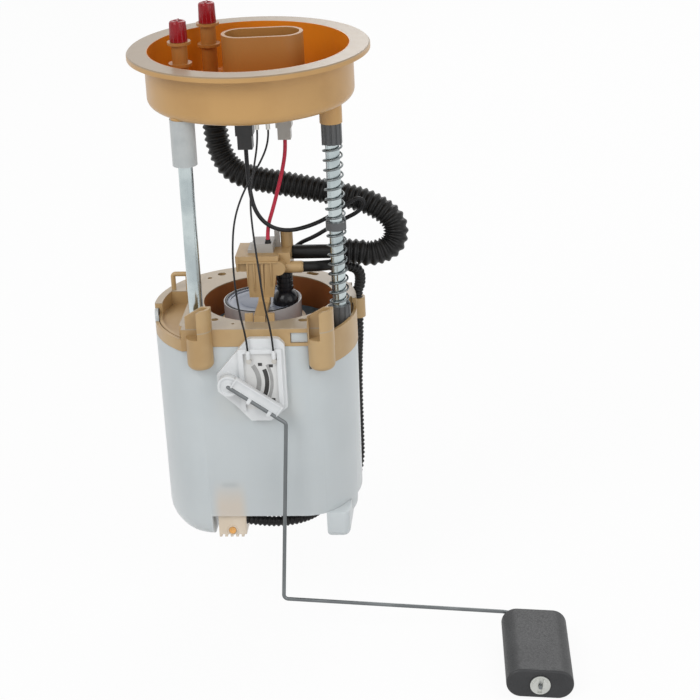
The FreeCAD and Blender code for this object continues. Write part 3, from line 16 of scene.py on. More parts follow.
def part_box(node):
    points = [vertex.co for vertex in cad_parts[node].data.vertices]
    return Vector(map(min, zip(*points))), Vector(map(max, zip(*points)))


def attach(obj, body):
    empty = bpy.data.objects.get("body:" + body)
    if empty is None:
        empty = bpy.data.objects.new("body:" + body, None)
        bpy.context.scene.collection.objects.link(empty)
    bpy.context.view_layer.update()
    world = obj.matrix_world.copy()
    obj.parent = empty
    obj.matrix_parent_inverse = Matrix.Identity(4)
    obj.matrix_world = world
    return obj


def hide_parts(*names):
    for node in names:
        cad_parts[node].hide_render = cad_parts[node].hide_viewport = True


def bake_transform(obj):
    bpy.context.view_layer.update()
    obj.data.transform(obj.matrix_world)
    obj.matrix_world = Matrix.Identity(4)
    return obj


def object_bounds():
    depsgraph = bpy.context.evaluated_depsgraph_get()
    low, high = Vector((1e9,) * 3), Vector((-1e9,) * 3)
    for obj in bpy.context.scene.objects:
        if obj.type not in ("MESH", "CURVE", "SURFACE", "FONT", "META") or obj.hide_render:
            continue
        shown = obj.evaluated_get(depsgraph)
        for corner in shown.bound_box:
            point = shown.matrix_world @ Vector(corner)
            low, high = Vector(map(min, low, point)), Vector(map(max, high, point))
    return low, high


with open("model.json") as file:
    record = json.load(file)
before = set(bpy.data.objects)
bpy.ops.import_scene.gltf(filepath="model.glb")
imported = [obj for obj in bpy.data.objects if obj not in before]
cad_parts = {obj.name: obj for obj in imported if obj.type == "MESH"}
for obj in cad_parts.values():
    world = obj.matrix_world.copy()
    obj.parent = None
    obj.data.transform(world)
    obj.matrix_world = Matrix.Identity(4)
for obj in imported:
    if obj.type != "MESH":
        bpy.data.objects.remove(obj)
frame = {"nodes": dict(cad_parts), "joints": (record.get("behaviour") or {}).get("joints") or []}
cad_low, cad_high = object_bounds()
nodes = frame["nodes"]
print("the CAD box is", [round(value, 4) for value in [*cad_low, *cad_high]])

# %% [markdown]
# The photograph was taken from a little to the right of the front and from above, and the camera
# was rolled slightly, because the rods lean in the picture. A long lens keeps the brim's ellipse
# nearly regular. The camera is placed by its distance from the brim's centre, and that centre's
# place in the picture, so that each of these numbers can be measured on its own.
# %% Camera
picture_size = 700.0
focal_pixels = 2200.0
pitch, azimuth, roll = (math.radians(angle) for angle in (22.2, 5.5, -2.7))
brim_pixel = (248.0, 45.3)
brim_distance = 1.2057
brim_height = 0.003

level_right = Vector((math.cos(azimuth), math.sin(azimuth), 0.0))
level_back = Vector((math.sin(azimuth), -math.cos(azimuth), 0.0))
back = level_back * math.cos(pitch) + Vector((0.0, 0.0, math.sin(pitch)))
level_up = back.cross(level_right)
right = level_right * math.cos(roll) + level_up * math.sin(roll)
up = level_up * math.cos(roll) - level_right * math.sin(roll)
across = (brim_pixel[0] - picture_size / 2) / focal_pixels * brim_distance
above = (picture_size / 2 - brim_pixel[1]) / focal_pixels * brim_distance
place = Vector((0, 0, brim_height)) - across * right - above * up + brim_distance * back
camera = bpy.data.objects.new("camera", bpy.data.cameras.new("camera"))
bpy.context.scene.collection.objects.link(camera)
camera.matrix_world = Matrix.Translation(place) @ Matrix((right, up, back)).transposed().to_4x4()
camera.data.sensor_width = 36.0
camera.data.lens = focal_pixels / picture_size * camera.data.sensor_width
camera.data.clip_start = 0.01
bpy.context.scene.camera = camera
print("the camera stands at", [round(value, 3) for value in place])

# %% [markdown]
# A shader is easier to read as arithmetic than as a web of boxes. This small class wraps a socket
# and turns + - * into Math nodes, so that a mask is one line. Every other node comes from one
# method, which sets the node's own options first and then its sockets.
# %% Shader arithmetic
class Term:
    """A socket in a material's node tree that can be added, multiplied and compared."""

    def __init__(self, look, socket):
        self.look = look
        self.socket = socket

    def math(self, operation, *others):
        return self.look.node("ShaderNodeMath", {"operation": operation}, [self, *others])

    def __add__(self, other):
        return self.math("ADD", other)

    def __sub__(self, other):
        return self.math("SUBTRACT", other)

    def __rsub__(self, other):
        return self.look.node("ShaderNodeMath", {"operation": "SUBTRACT"}, [other, self])

    def __mul__(self, other):
        return self.math("MULTIPLY", other)

    __radd__ = __add__
    __rmul__ = __mul__

    def between(self, low, high):
        """0 below low and 1 above high, with a smooth step in between."""
        settings = {"interpolation_type": "SMOOTHSTEP", "clamp": True}
        inputs = {"Value": self, "From Min": low, "From Max": high}
        return self.look.node("ShaderNodeMapRange", settings, inputs)

    def inside(self, low, high, edge):
        """1 between low and high, fading over the width of an edge."""
        return self.between(low - edge, low + edge) * (1 - self.between(high - edge, high + edge))


class Look:
    """One material, or the world: its main shader and the nodes that feed it."""

    def __init__(self, name, world=None):
        self.name = name
        self.material = world or bpy.data.materials.new(name)
        self.material.use_nodes = True
        self.tree = self.material.node_tree
        self.shader = self.tree.nodes["Background" if world else "Principled BSDF"]

    def feed(self, socket, value):
        if isinstance(value, Term):
            self.tree.links.new(value.socket, socket)
        elif isinstance(value, tuple) and len(value) == 3 and socket.type == "RGBA":
            socket.default_value = (*value, 1.0)
        else:
            socket.default_value = value

    def node(self, kind, settings=None, inputs=None, output=0):
        made = self.tree.nodes.new(kind)
        for key, value in (settings or {}).items():
            setattr(made, key, value)
        pairs = inputs.items() if isinstance(inputs, dict) else enumerate(inputs or [])
        for key, value in pairs:
            self.feed(made.inputs[key], value)
        return Term(self, made.outputs[output])

    def mix(self, share, first, second):
        """A colour between two colours."""
        colour_sockets = {0: share, 6: first, 7: second}
        return self.node("ShaderNodeMix", {"data_type": "RGBA"}, colour_sockets, output=2)

    def place(self, stretch=(1, 1, 1)):
        """The point on the surface, in metres, stretched for a pattern."""
        point = self.node("ShaderNodeTexCoord", output=3)
        if stretch == (1, 1, 1):
            return point
        return self.node("ShaderNodeMapping", None, {"Vector": point, "Scale": stretch})

    def axes(self):
        """The point's x, y and z."""
        made = self.tree.nodes.new("ShaderNodeSeparateXYZ")
        self.feed(made.inputs[0], self.place())
        return [Term(self, socket) for socket in made.outputs]

    def noise(self, scale, detail=3.0, stretch=(1, 1, 1)):
        inputs = {"Vector": self.place(stretch), "Scale": scale, "Detail": detail}
        return self.node("ShaderNodeTexNoise", None, inputs)

    def bump(self, height, strength, distance):
        """Tilt the surface by a height pattern."""
        inputs = {"Height": height, "Strength": strength, "Distance": distance}
        self.feed(self.shader.inputs["Normal"], self.node("ShaderNodeBump", None, inputs))

    def set(self, **values):
        """Feed the shader's sockets, named with underscores for spaces."""
        for key, value in values.items():
            self.feed(self.shader.inputs[key.replace("_", " ")], value)

    def cover(self, piece):
        """Give a piece this finish alone."""
        piece.data.materials.clear()
        piece.data.materials.append(self.material)


print("shader helpers are ready")

# %% [markdown]
# Most parts of the module are moulded plastic. Real mouldings are never one flat colour: the melt
# leaves faint clouds, handling polishes some places and dulls others, and the tool leaves a fine
# grain. One function makes all of these finishes, and each plastic has its own colours and gloss. A
# second function does the same for metals, with drawn lines in place of the clouds.
# %% Plastics and metals
mould_grain = 0.00004


def plastic(name, colour, cloud, gloss=0.42, cloud_size=0.02, **more):
    """Moulded plastic: its colour drifts towards a second one in soft clouds."""
    look = Look(name)
    clouds = look.noise(1 / cloud_size, 4.0).between(0.35, 0.68)
    flow = look.noise(1 / (cloud_size * 0.25), 3.0, (1, 1, 0.25)).between(0.3, 0.75)
    grime = look.noise(900.0, 2.0)
    look.set(Base_Color=look.mix(clouds * 0.7 + flow * 0.3, colour, cloud))
    look.set(Roughness=gloss - 0.05 + flow * 0.06 + grime * 0.06, **more)
    look.bump(look.noise(1400.0, 2.0) + flow * 0.3, 0.35, mould_grain)
    return look


def metal(name, colour, stain, gloss=0.28, streak=(1, 1, 0.02), **more):
    """Bare or plated metal with fine drawn lines along the piece."""
    look = Look(name)
    lines = look.noise(1500.0, 2.0, streak)
    patches = look.noise(60.0, 4.0).between(0.4, 0.7)
    look.set(Base_Color=look.mix(patches * 0.6 + lines * 0.4, colour, stain), Metallic=1.0)
    look.set(Roughness=gloss - 0.06 + lines * 0.08 + patches * 0.1, **more)
    look.bump(lines, 0.25, 0.00002)
    return look


white_plastic = plastic("white_plastic", (0.70, 0.715, 0.725), (0.62, 0.64, 0.65), 0.36)
ivory_plastic = plastic("ivory_plastic", (0.70, 0.61, 0.50), (0.62, 0.52, 0.40), 0.34)
dark_plastic = plastic("dark_plastic", (0.095, 0.098, 0.10), (0.07, 0.072, 0.075), 0.4)
smoky_plastic = plastic("smoky_plastic", (0.40, 0.385, 0.36), (0.33, 0.315, 0.29), 0.3)
milky_plastic = plastic("milky_plastic", (0.44, 0.465, 0.465), (0.38, 0.405, 0.41), 0.34,
                        cloud_size=0.008, Sheen_Weight=0.3)
rim_plastic = plastic("rim_plastic", (0.50, 0.49, 0.49), (0.40, 0.385, 0.385), 0.2, Coat_Weight=0.5)
black_plastic = plastic("black_plastic", (0.018, 0.018, 0.019), (0.028, 0.028, 0.03), 0.4)
grey_plastic = plastic("grey_plastic", (0.24, 0.265, 0.33), (0.2, 0.225, 0.285), 0.36)
orange_plastic = plastic("orange_plastic", (0.80, 0.43, 0.13), (0.72, 0.36, 0.09), 0.4)
ferrite = plastic("ferrite", (0.03, 0.03, 0.032), (0.05, 0.05, 0.052), 0.6)
# The zinc's drawn lines are broad: they are partly real drawn lines and partly painted light and
# dark reflection streaks along the rods.
zinc = metal("zinc_plate", (0.62, 0.69, 0.69), (0.40, 0.46, 0.475), 0.2, (0.28, 0.28, 0.004))
even = (1, 1, 1)
spring_steel = metal("spring_steel", (0.16, 0.18, 0.185), (0.24, 0.26, 0.265), 0.36, even,
                     Metallic=0.85)
arm_steel = metal("arm_steel", (0.14, 0.15, 0.155), (0.2, 0.215, 0.22), 0.32, even, Metallic=0.75)
tin = metal("tin_plate", (0.62, 0.6, 0.56), (0.5, 0.48, 0.44), 0.32)
copper = metal("copper", (0.72, 0.38, 0.22), (0.5, 0.25, 0.14), 0.34)
print("plain plastics and metals:", len(bpy.data.materials))

# %% [markdown]
# The flange is a tan acetal moulding. Light gets into its deep bowl and comes back more orange than
# the outside, and the brim's edge catches a pale line. Both are painted into the colour by place on
# the part: painted light makes the bowl's inside a brighter orange, and a painted reflection makes
# the brim a greyer tan, so the colour follows the distance from the axis and the height.
# %% Flange finish
bowl_radius, bowl_floor, brim_top = 0.0558, -0.0248, 0.0030


def flange_finish():
    look = Look("amber_plastic")
    x, y, z = look.axes()
    reach = (x * x + y * y).math("SQRT")
    past_wall = reach.between(bowl_radius - 0.0002, bowl_radius + 0.0002)
    in_bowl = (1 - past_wall) * z.between(bowl_floor - 0.0007, bowl_floor)
    on_wall = in_bowl * reach.between(bowl_radius - 0.0018, bowl_radius - 0.0006)
    on_brim = z.between(brim_top - 0.0009, brim_top - 0.0003) * past_wall
    above_brim = in_bowl * z.between(-0.016, 0.009)
    clouds = look.noise(35.0, 4.0).between(0.35, 0.7)
    flow = look.noise(150.0, 3.0, (1, 1, 0.3))
    outside = look.mix(clouds * 0.8, (0.49, 0.285, 0.100), (0.43, 0.24, 0.078))
    # Painted light inside the bowl: the wall and the floor are made a bright orange, and the parts
    # that stand in the bowl a darker orange that changes with height, for light that comes through
    # the plastic.
    standing = look.mix(above_brim, (0.36, 0.125, 0.018), (0.37, 0.17, 0.045))
    wall = look.mix(clouds * 0.6 + flow * 0.3, (0.66, 0.215, 0.010), (0.56, 0.165, 0.007))
    near_floor = 1 - z.between(bowl_floor + 0.0013, bowl_floor + 0.0038)
    inside = look.mix(on_wall + near_floor, standing, wall)
    # Painted reflection: the brim's top is made a greyer tan, for the sky seen in its polished
    # face.
    brim = look.mix(clouds * 0.6, (0.29, 0.21, 0.125), (0.25, 0.175, 0.10))
    body = look.mix(on_brim, look.mix(in_bowl, outside, inside), brim)
    look.set(Base_Color=body, Roughness=0.3 + flow * 0.1, Coat_Weight=on_brim * 0.25 + 0.1)
    look.set(Coat_Roughness=0.2)
    look.bump(look.noise(1300.0, 2.0) + flow * 0.4, 0.3, mould_grain)
    return look


amber_plastic = flange_finish()
print("flange finish:", len(amber_plastic.tree.nodes), "nodes")

# %% [markdown]
# The ring and the outlet bracket are the same plastic, a little paler than the flange. The deck is
# polished by the mould and looks almost grey-pink under the white sky, so that grey-pink is painted
# on it as a painted reflection. The wall of the big opening gets only the light that has passed
# through the plastic, so it is painted deep brown, as painted shade. Place on the part decides.
# %% Ring finish
opening_centre = (0.003, 0.0)
opening_radius = 0.0373
deck_height = -0.145


def ring_finish():
    look = Look("tan_plastic")
    x, y, z = look.axes()
    across = x - opening_centre[0]
    reach = (across * across + y * y).math("SQRT")
    # Painted shade: this mask finds the wall of the big opening below the deck, which is made deep
    # brown.
    opening_shade = 1 - reach.between(opening_radius + 0.0002, opening_radius + 0.0006)
    opening_shade = opening_shade * reach.between(opening_radius - 0.0093, opening_radius - 0.0063)
    opening_shade = opening_shade * (1 - z.between(deck_height - 0.0012, deck_height))
    on_deck = z.between(deck_height - 0.0006, deck_height - 0.0001)
    on_deck = on_deck * (1 - z.between(deck_height + 0.0001, deck_height + 0.0006))
    clouds = look.noise(45.0, 4.0).between(0.35, 0.7)
    flow = look.noise(170.0, 3.0, (1, 1, 0.3))
    body = look.mix(clouds * 0.7 + flow * 0.3, (0.47, 0.32, 0.155), (0.40, 0.255, 0.11))
    # Painted reflection on the deck, grey-pink for the white sky; painted shade on the opening's
    # wall, deep brown.
    deck = look.mix(clouds * 0.6, (0.40, 0.32, 0.22), (0.36, 0.28, 0.185))
    wall = look.mix(clouds * 0.6 + flow * 0.3, (0.36, 0.125, 0.036), (0.28, 0.09, 0.024))
    look.set(Base_Color=look.mix(opening_shade, look.mix(on_deck, body, deck), wall))
    look.set(Roughness=0.34 + flow * 0.1, Coat_Weight=on_deck * 0.3 + 0.05, Coat_Roughness=0.25)
    look.bump(look.noise(1300.0, 2.0) + flow * 0.4, 0.3, mould_grain)
    return look


tan_plastic = ring_finish()
print("ring finish:", len(tan_plastic.tree.nodes), "nodes")

# %% [markdown]
# The pot is unfilled acetal, milky and a little blue, and thin enough that what touches its wall
# from inside shows as a soft shade. That shade is painted on the front wall: the jet pump, which
# stands behind the front wall at the left, gives a painted warm patch that fades upwards, with a
# painted grey band at its top, and the pump's cup a faint painted band. Faint flow marks run up the
# wall.
# %% Pot finish
pot_foot, front_skin = -0.276, -0.046
shade_left, shade_right, shade_foot, shade_top = -0.024, 0.023, -0.205, -0.17


def pot_finish():
    look = Look("clear_white_plastic")
    x, y, z = look.axes()
    low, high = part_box("jet_pump")
    clouds = look.noise(22.0, 4.0).between(0.3, 0.72)
    flow = look.noise(90.0, 3.0, (1, 1, 0.15))
    foot = 1 - z.between(pot_foot, pot_foot + 0.041)
    body = look.mix(clouds * 0.5 + flow * 0.25, (0.535, 0.575, 0.59), (0.475, 0.515, 0.53))
    body = look.mix(foot * 0.4, body, (0.60, 0.635, 0.645))
    # Painted shade of what stands behind the front wall: a warm patch behind the jet pump that
    # fades upwards, a grey band at the jet pump's top, and a faint warm band where the pump's cup
    # stands.
    in_front = 1 - y.between(front_skin - 0.001, front_skin + 0.001)
    behind = x.inside(low.x, high.x, 0.0035) * in_front
    painted_pump_shade = behind * (1 - z.between(high.z - 0.014, high.z + 0.006))
    painted_neck_shade = x.inside(low.x + 0.004, high.x - 0.003, 0.0025) * in_front
    painted_neck_shade = painted_neck_shade * z.inside(high.z - 0.001, high.z + 0.0015, 0.0018)
    cup = x.inside(shade_left, shade_right, 0.006) * in_front
    cup = cup * z.between(shade_foot, shade_foot + 0.01)
    cup = cup * (1 - z.between(shade_top - 0.02, shade_top))
    body = look.mix(painted_pump_shade * 0.6, body, (0.66, 0.53, 0.40))
    body = look.mix(painted_neck_shade * 0.4, body, (0.33, 0.37, 0.39))
    body = look.mix(cup * 0.12, body, (0.62, 0.55, 0.45))
    look.set(Base_Color=body, Roughness=0.34 + flow * 0.12, Sheen_Weight=0.4, Sheen_Roughness=0.4)
    look.set(Subsurface_Weight=0.2, Subsurface_Radius=(0.01, 0.011, 0.012), Subsurface_Scale=0.4)
    look.bump(flow + clouds * 0.5, 0.3, 0.0001)
    return look


pot_plastic = pot_finish()
print("pot finish:", len(pot_plastic.tree.nodes), "nodes")

# %% [markdown]
# Rubber and wire coverings are nearly black, but never evenly so: dust lies on them in soft patches
# and fine specks. Wires are smoother, with a clear highlight along them.
# %% Rubber and insulation
def rubber(name, colour, dust, gloss):
    look = Look(name)
    specks = look.noise(700.0, 3.0).between(0.45, 0.8)
    patches = look.noise(50.0, 3.0).between(0.35, 0.75)
    look.set(Base_Color=look.mix(patches * 0.6 + specks * 0.4, colour, dust))
    look.set(Roughness=gloss + patches * 0.12, Specular_IOR_Level=0.2)
    look.bump(specks + patches, 0.3, 0.00005)
    return look


hose_rubber = rubber("hose_rubber", (0.010, 0.0098, 0.0098), (0.022, 0.0215, 0.021), 0.34)
black_rubber = rubber("black_rubber", (0.008, 0.008, 0.010), (0.016, 0.016, 0.018), 0.14)
red_insulation = rubber("red_insulation", (0.44, 0.022, 0.05), (0.54, 0.05, 0.08), 0.3)
black_insulation = rubber("black_insulation", (0.012, 0.012, 0.013), (0.03, 0.03, 0.032), 0.32)
red_plastic = plastic("red_plastic", (0.30, 0.007, 0.013), (0.24, 0.005, 0.010), 0.24,
                      Specular_IOR_Level=0.35)
print("rubbers and insulation are ready")

# %% [markdown]
# Hoses and wires are fixed lengths of something flexible. Each follows one smooth NURBS line led by
# listed points between the fittings of its CAD solid. The line is made a mesh once, only to read
# its points, and a tube is then swept along them, with a radius that may change, so that a
# corrugated hose is the same sweep as a wire.
# %% Routes and tubes
def in_mm(*points):
    """Given points, written in millimetres."""
    return [tuple(value / 1000 for value in point) for point in points]


def smooth_route(points, step):
    """Points a step apart along the NURBS line that the route's points control."""
    curve = bpy.data.curves.new("route", "CURVE")
    curve.dimensions = "3D"
    spline = curve.splines.new("NURBS")
    spline.points.add(len(points) - 1)
    for control, point in zip(spline.points, points):
        control.co = (*point, 1.0)
    spline.order_u = 3
    spline.use_endpoint_u = True
    spline.resolution_u = 24
    holder = bpy.data.objects.new("route", curve)
    bpy.context.scene.collection.objects.link(holder)
    bpy.context.view_layer.update()
    mesh = bpy.data.meshes.new_from_object(holder)
    line = np.array([vertex.co for vertex in mesh.vertices])
    bpy.data.objects.remove(holder)
    bpy.data.meshes.remove(mesh)
    lengths = np.concatenate([[0], np.cumsum(np.linalg.norm(np.diff(line, axis=0), axis=1))])
    count = max(8, round(lengths[-1] / step))
    wanted = np.linspace(0, lengths[-1], count + 1)
    along_axes = [np.interp(wanted, lengths, line[:, axis]) for axis in range(3)]
    return np.stack(along_axes, axis=1), wanted


def swept_tube(name, line, radii, sides):
    """A closed tube along a line of points, with one radius for each point."""
    tangents = np.gradient(line, axis=0)
    tangents /= np.linalg.norm(tangents, axis=1)[:, None]
    across = np.cross(tangents[0], (0.3, 0.2, 0.9))
    across /= np.linalg.norm(across)
    turns = np.linspace(0, 2 * math.pi, sides, endpoint=False)
    rings = []
    for point, tangent, radius in zip(line, tangents, radii):
        across = across - tangent * (across @ tangent)
        across /= np.linalg.norm(across)
        beside = np.cross(tangent, across)
        ring = np.outer(np.cos(turns), across) + np.outer(np.sin(turns), beside)
        rings.append(point + radius * ring)
    vertices = np.concatenate(rings)
    faces = []
    for ring in range(len(line) - 1):
        for side in range(sides):
            following = (side + 1) % sides
            low = ring * sides
            faces.append((low + side, low + following, low + sides + following, low + sides + side))
    faces.append(tuple(range(sides))[::-1])
    faces.append(tuple(range(len(vertices) - sides, len(vertices))))
    mesh = bpy.data.meshes.new(name)
    mesh.from_pydata(vertices.tolist(), [], faces)
    mesh.update()
    tube = bpy.data.objects.new(name, mesh)
    bpy.context.scene.collection.objects.link(tube)
    for face in mesh.polygons:
        face.use_smooth = len(face.vertices) == 4
    return tube


def dress(piece, look, node=None):
    """Give a piece its finish, and hide the CAD node that it replaces."""
    look.cover(piece)
    if node:
        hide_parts(node)


def cord_along(name, points, look, node, step, sides, radii):
    """A tube along a route. Its radii are told from the length so far."""
    line, along = smooth_route(points, step)
    piece = swept_tube(name, line, radii(along), sides)
    dress(piece, look, node)
    print(name, "is", round(along[-1] * 1000, 1), "mm long")
    return piece


print("routes and tubes can be made")

# %% [markdown]
# The feed hose carries fuel from the pump to the flange and has to fold as the pot rises, so it is
# corrugated: broad round ribs with narrow grooves between them. The two short tubes of the jet pump
# are the same thing at half the size. The ribs are a matter of the radius along the line.
# %% Corrugated hoses
def corrugated(name, points, diameter, pitch, depth, node, smooth_start=0.0):
    """A hose with rounded ribs, which may begin with a plain stretch."""
    steps_per_rib, sides = 8, 26

    def ribbed(along):
        waves = np.abs(np.cos(math.pi * (along - smooth_start) / pitch)) ** 2.2
        waves[along < smooth_start] = 0.25
        waves[-1] = 0.6
        return diameter / 2 - depth * waves

    return cord_along(name, points, hose_rubber, node,
                      pitch / steps_per_rib, sides, ribbed)


feed_route = in_mm((-27, 35, -27), (-27, 35, -41), (-26.6, 34.2, -56), (-24.2, 32, -68),
                   (-17.6, 28, -77.5), (-5, 25, -81.5), (12, 22.6, -83.8), (31, 21, -87.2),
                   (48.5, 19.6, -90.8), (63.5, 17.3, -94.8), (77, 13.5, -104), (76, 9.5, -117.5),
                   (63, 6, -122), (54, 5, -119.2), (44, 5, -119.2))
feed_hose = corrugated("feed_hose_ribbed", feed_route, 0.0146, 0.0034, 0.0013, "feed_hose")
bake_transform(feed_hose)

upper_route = in_mm((24.2, -5, -124.6), (31, -5, -124.6), (38.5, 1.5, -126.2), (45.5, 8.5, -128.4),
                    (54.5, 15.5, -133.8), (54.2, 20.2, -145), (51.9, 20.9, -149),
                    (51.9, 20.9, -157))
jet_tube = (0.0064, 0.0026, 0.0008)
jet_upper = corrugated("jet_tube_upper_ribbed", upper_route, *jet_tube, "jet_tube_upper", 0.016)
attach(jet_upper, "reservoir")

lower_route = in_mm((51.9, 20.9, -161), (51.9, 20.9, -173), (50, 25.6, -191), (49, 27.2, -215),
                    (48.8, 27, -243), (48.4, 26.2, -264), (43.5, 11, -269.4), (34.5, -10, -268.6),
                    (29.2, -21.5, -268.2), (23.5, -33, -267.8), (12, -41.5, -267.2),
                    (-2.5, -43, -266.4), (-12, -41.2, -265.6))
jet_lower = corrugated("jet_tube_lower_ribbed", lower_route, *jet_tube, "jet_tube_lower")
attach(jet_lower, "reservoir")

# %% [markdown]
# The wires are plain covered leads: a thick red and a thick black one for the pump, and two thin
# ones for the level sender. They are slack between the flange and the pot, because the pot slides.
# %% Wires
def wire(name, points, diameter, look, node):
    """A covered lead along its route."""
    step, sides = 0.0016, 12
    lead = cord_along(name, points, look, node, step, sides,
                      lambda along: np.full(len(along), diameter / 2))
    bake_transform(lead)


red_route = in_mm((17.4, 0, -50.3), (17.4, 0, -57), (15.4, -2, -67.5), (12.4, -4.5, -78.5),
                  (9, -6, -90), (5.2, -6.2, -100.9), (5.2, -6.2, -109.7))
black_route = in_mm((-4.1, -5, -54), (-4.1, -5, -63), (-3.4, -7, -76.5), (-0.8, -9.5, -89.5),
                    (6.2, -10, -98.5), (17, -7.5, -102.6), (29.5, -3, -101), (40, 1, -97.2),
                    (49, 4, -91.5), (56.5, 5.5, -87), (60.5, 7, -91), (56, 8.5, -97),
                    (47, 10.5, -102), (37.5, 12, -108), (29, 13.4, -113.5), (20, 14.5, -117.5),
                    (13, 14, -125), (10, 12, -136), (10, 12, -146.2))
left_thin_route = in_mm((10.9, -20, -39), (10.9, -20, -46), (6, -24, -57), (-3, -30, -70),
                        (-8.5, -37, -84), (-9.8, -43.5, -100), (-9.2, -48, -117), (-7, -52, -134),
                        (-3.4, -54.2, -150), (-3.4, -54.2, -160.6))
right_thin_route = in_mm((4.8, -20, -39), (4.8, -20, -46), (2.8, -29.5, -59), (0.6, -36.5, -74),
                         (2, -42, -91), (4.5, -47, -109), (6.5, -51, -127.5), (10.9, -54.2, -148),
                         (10.9, -54.2, -160.6))
wire("red_lead", red_route, 0.0022, red_insulation, "red_wire")
wire("black_lead", black_route, 0.0024, black_insulation, "black_wire")
for side, route in (("left", left_thin_route), ("right", right_thin_route)):
    name, node = side + "_thin_lead", side + "_thin_wire"
    wire(name, route, 0.0011, black_insulation, node)

# %% [markdown]
# Two steel springs stand one above the other on the right rod, with a collar between them. A real
# compression spring has its last turn closed against its neighbour at each end. The line is a helix
# whose rise eases in and out, and the same sweep gives the wire. In the module, as the pot rises,
# the upper spring closes between flange and collar, and the lower one's top moves half as far as
# its foot, as the collar does; here each coil is made once, in the space of its CAD spring. The
# check valve's small spring, inside the pump, is made the same way.
# %% Springs
def spring(name, node, turns, wire_diameter):
    """A compression spring in the space of a CAD spring, with its end turns closed."""
    low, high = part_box(node)
    centre = (low + high) / 2
    radius = (high.x - low.x) / 2 - wire_diameter / 2
    steps_per_turn = 28
    count = round(turns * steps_per_turn)
    share = np.linspace(0, 1, count + 1)
    pace = np.clip(np.minimum(share, 1 - share) * turns, 0, 1) * 0.8 + 0.2
    rise = np.concatenate([[0], np.cumsum((pace[1:] + pace[:-1]) / 2)])
    height = high.z - low.z - wire_diameter
    levels = low.z + wire_diameter / 2 + height * rise / rise[-1]
    angle = 2 * math.pi * turns * share
    x, y = centre.x + radius * np.cos(angle), centre.y + radius * np.sin(angle)
    line = np.stack([x, y, levels], axis=1)
    coil = swept_tube(name, line, np.full(len(line), wire_diameter / 2), 10)
    dress(coil, spring_steel, node)
    print(name, "has", turns, "turns of", round(wire_diameter * 1000, 1), "mm wire")
    return coil


upper_coil = spring("upper_coil", "spring_upper", 8.5, 0.0011)
low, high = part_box("spring_upper")
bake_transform(upper_coil)
lower_coil = spring("lower_coil", "spring_lower", 8.5, 0.0011)
low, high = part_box("spring_lower")
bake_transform(lower_coil)
valve_coil = spring("valve_coil", "check_valve_spring", 4.5, 0.0005)
low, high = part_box("check_valve_spring")
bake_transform(valve_coil)

# %% [markdown]
# The small mouldings and pressings are modelled as by hand. Each starts as a primitive at its size
# and place, is opened in edit mode, and its faces are picked by where they lie or which way they
# point. Small helpers do what repeats: they begin a piece, choose its faces, push or draw them in,
# join pieces or cut one with others, and finish a piece with softened edges. The last three, and
# the one that begins a piece, close the edit before them.
# %% Modelling helpers
UP, DOWN, FRONT, RIGHT = (Vector(way) for way in ((0, 0, 1), (0, 0, -1), (0, -1, 0), (1, 0, 0)))


def leave_edit():
    """Close the edit that is open, if one is."""
    if bpy.context.mode == "EDIT_MESH":
        bpy.ops.object.mode_set(mode="OBJECT")


def only(*pieces):
    """Select these pieces and no other, and make the first one active."""
    leave_edit()
    bpy.ops.object.select_all(action="DESELECT")
    for piece in pieces:
        piece.select_set(True)
    if pieces:
        bpy.context.view_layer.objects.active = pieces[0]


def begin(name, kind, **size):
    """Add a primitive at its size and place, and open it for editing."""
    only()
    getattr(bpy.ops.mesh, "primitive_" + kind + "_add")(**size)
    piece = bpy.context.object
    piece.name = name
    bpy.ops.object.transform_apply(location=True, rotation=True, scale=True)
    bpy.ops.object.mode_set(mode="EDIT")
    bpy.ops.mesh.select_mode(type="FACE")
    return piece


def slab(name, size, at, rotation=(0, 0, 0)):
    """Begin a block of a size about a point, and turn it."""
    return begin(name, "cube", size=1.0, scale=size, location=at, rotation=rotation)


def block(name, *spans):
    """Begin a block between two values of x, of y and of z."""
    return slab(name, [high - low for low, high in spans], [sum(span) / 2 for span in spans])


def drum(name, sides, radius, bottom, top, at):
    """Begin an upright cylinder between two heights."""
    return begin(name, "cylinder", vertices=sides, radius=radius, depth=top - bottom,
                 location=(at.x, at.y, (top + bottom) / 2))


def disc(name, sides, radius, front, rear, at):
    """Begin a cylinder that faces the front, between two depths."""
    return begin(name, "cylinder", vertices=sides, radius=radius, depth=rear - front,
                 location=(at.x, (front + rear) / 2, at.z), rotation=(math.radians(90), 0, 0))


def choose(piece, wanted):
    """Select the faces for which wanted(centre, normal) is true, and count them."""
    mesh = bmesh.from_edit_mesh(piece.data)
    picked = [face for face in mesh.faces if wanted(face.calc_center_median(), face.normal)]
    bpy.ops.mesh.select_all(action="DESELECT")
    for face in picked:
        face.select_set(True)
    bmesh.update_edit_mesh(piece.data)
    return len(picked)


def facing(piece, way):
    """Choose the faces that look one way."""
    choose(piece, lambda point, normal: normal.dot(way) > 0.9)


def push(x=0.0, y=0.0, z=0.0):
    """Extrude the chosen faces."""
    bpy.ops.mesh.extrude_region_move(TRANSFORM_OT_translate={"value": (x, y, z)})


def step(inward, x=0.0, y=0.0, z=0.0):
    """Draw the chosen faces in, and extrude them."""
    bpy.ops.mesh.inset(thickness=inward)
    push(x, y, z)


def resize(about, x=1.0, y=1.0, z=1.0):
    """Make what is chosen larger or smaller about a point."""
    bpy.ops.transform.resize(value=(x, y, z), center_override=tuple(about))


def join_to(piece, *others):
    """Make one piece of several."""
    only(piece, *others)
    bpy.ops.object.join()


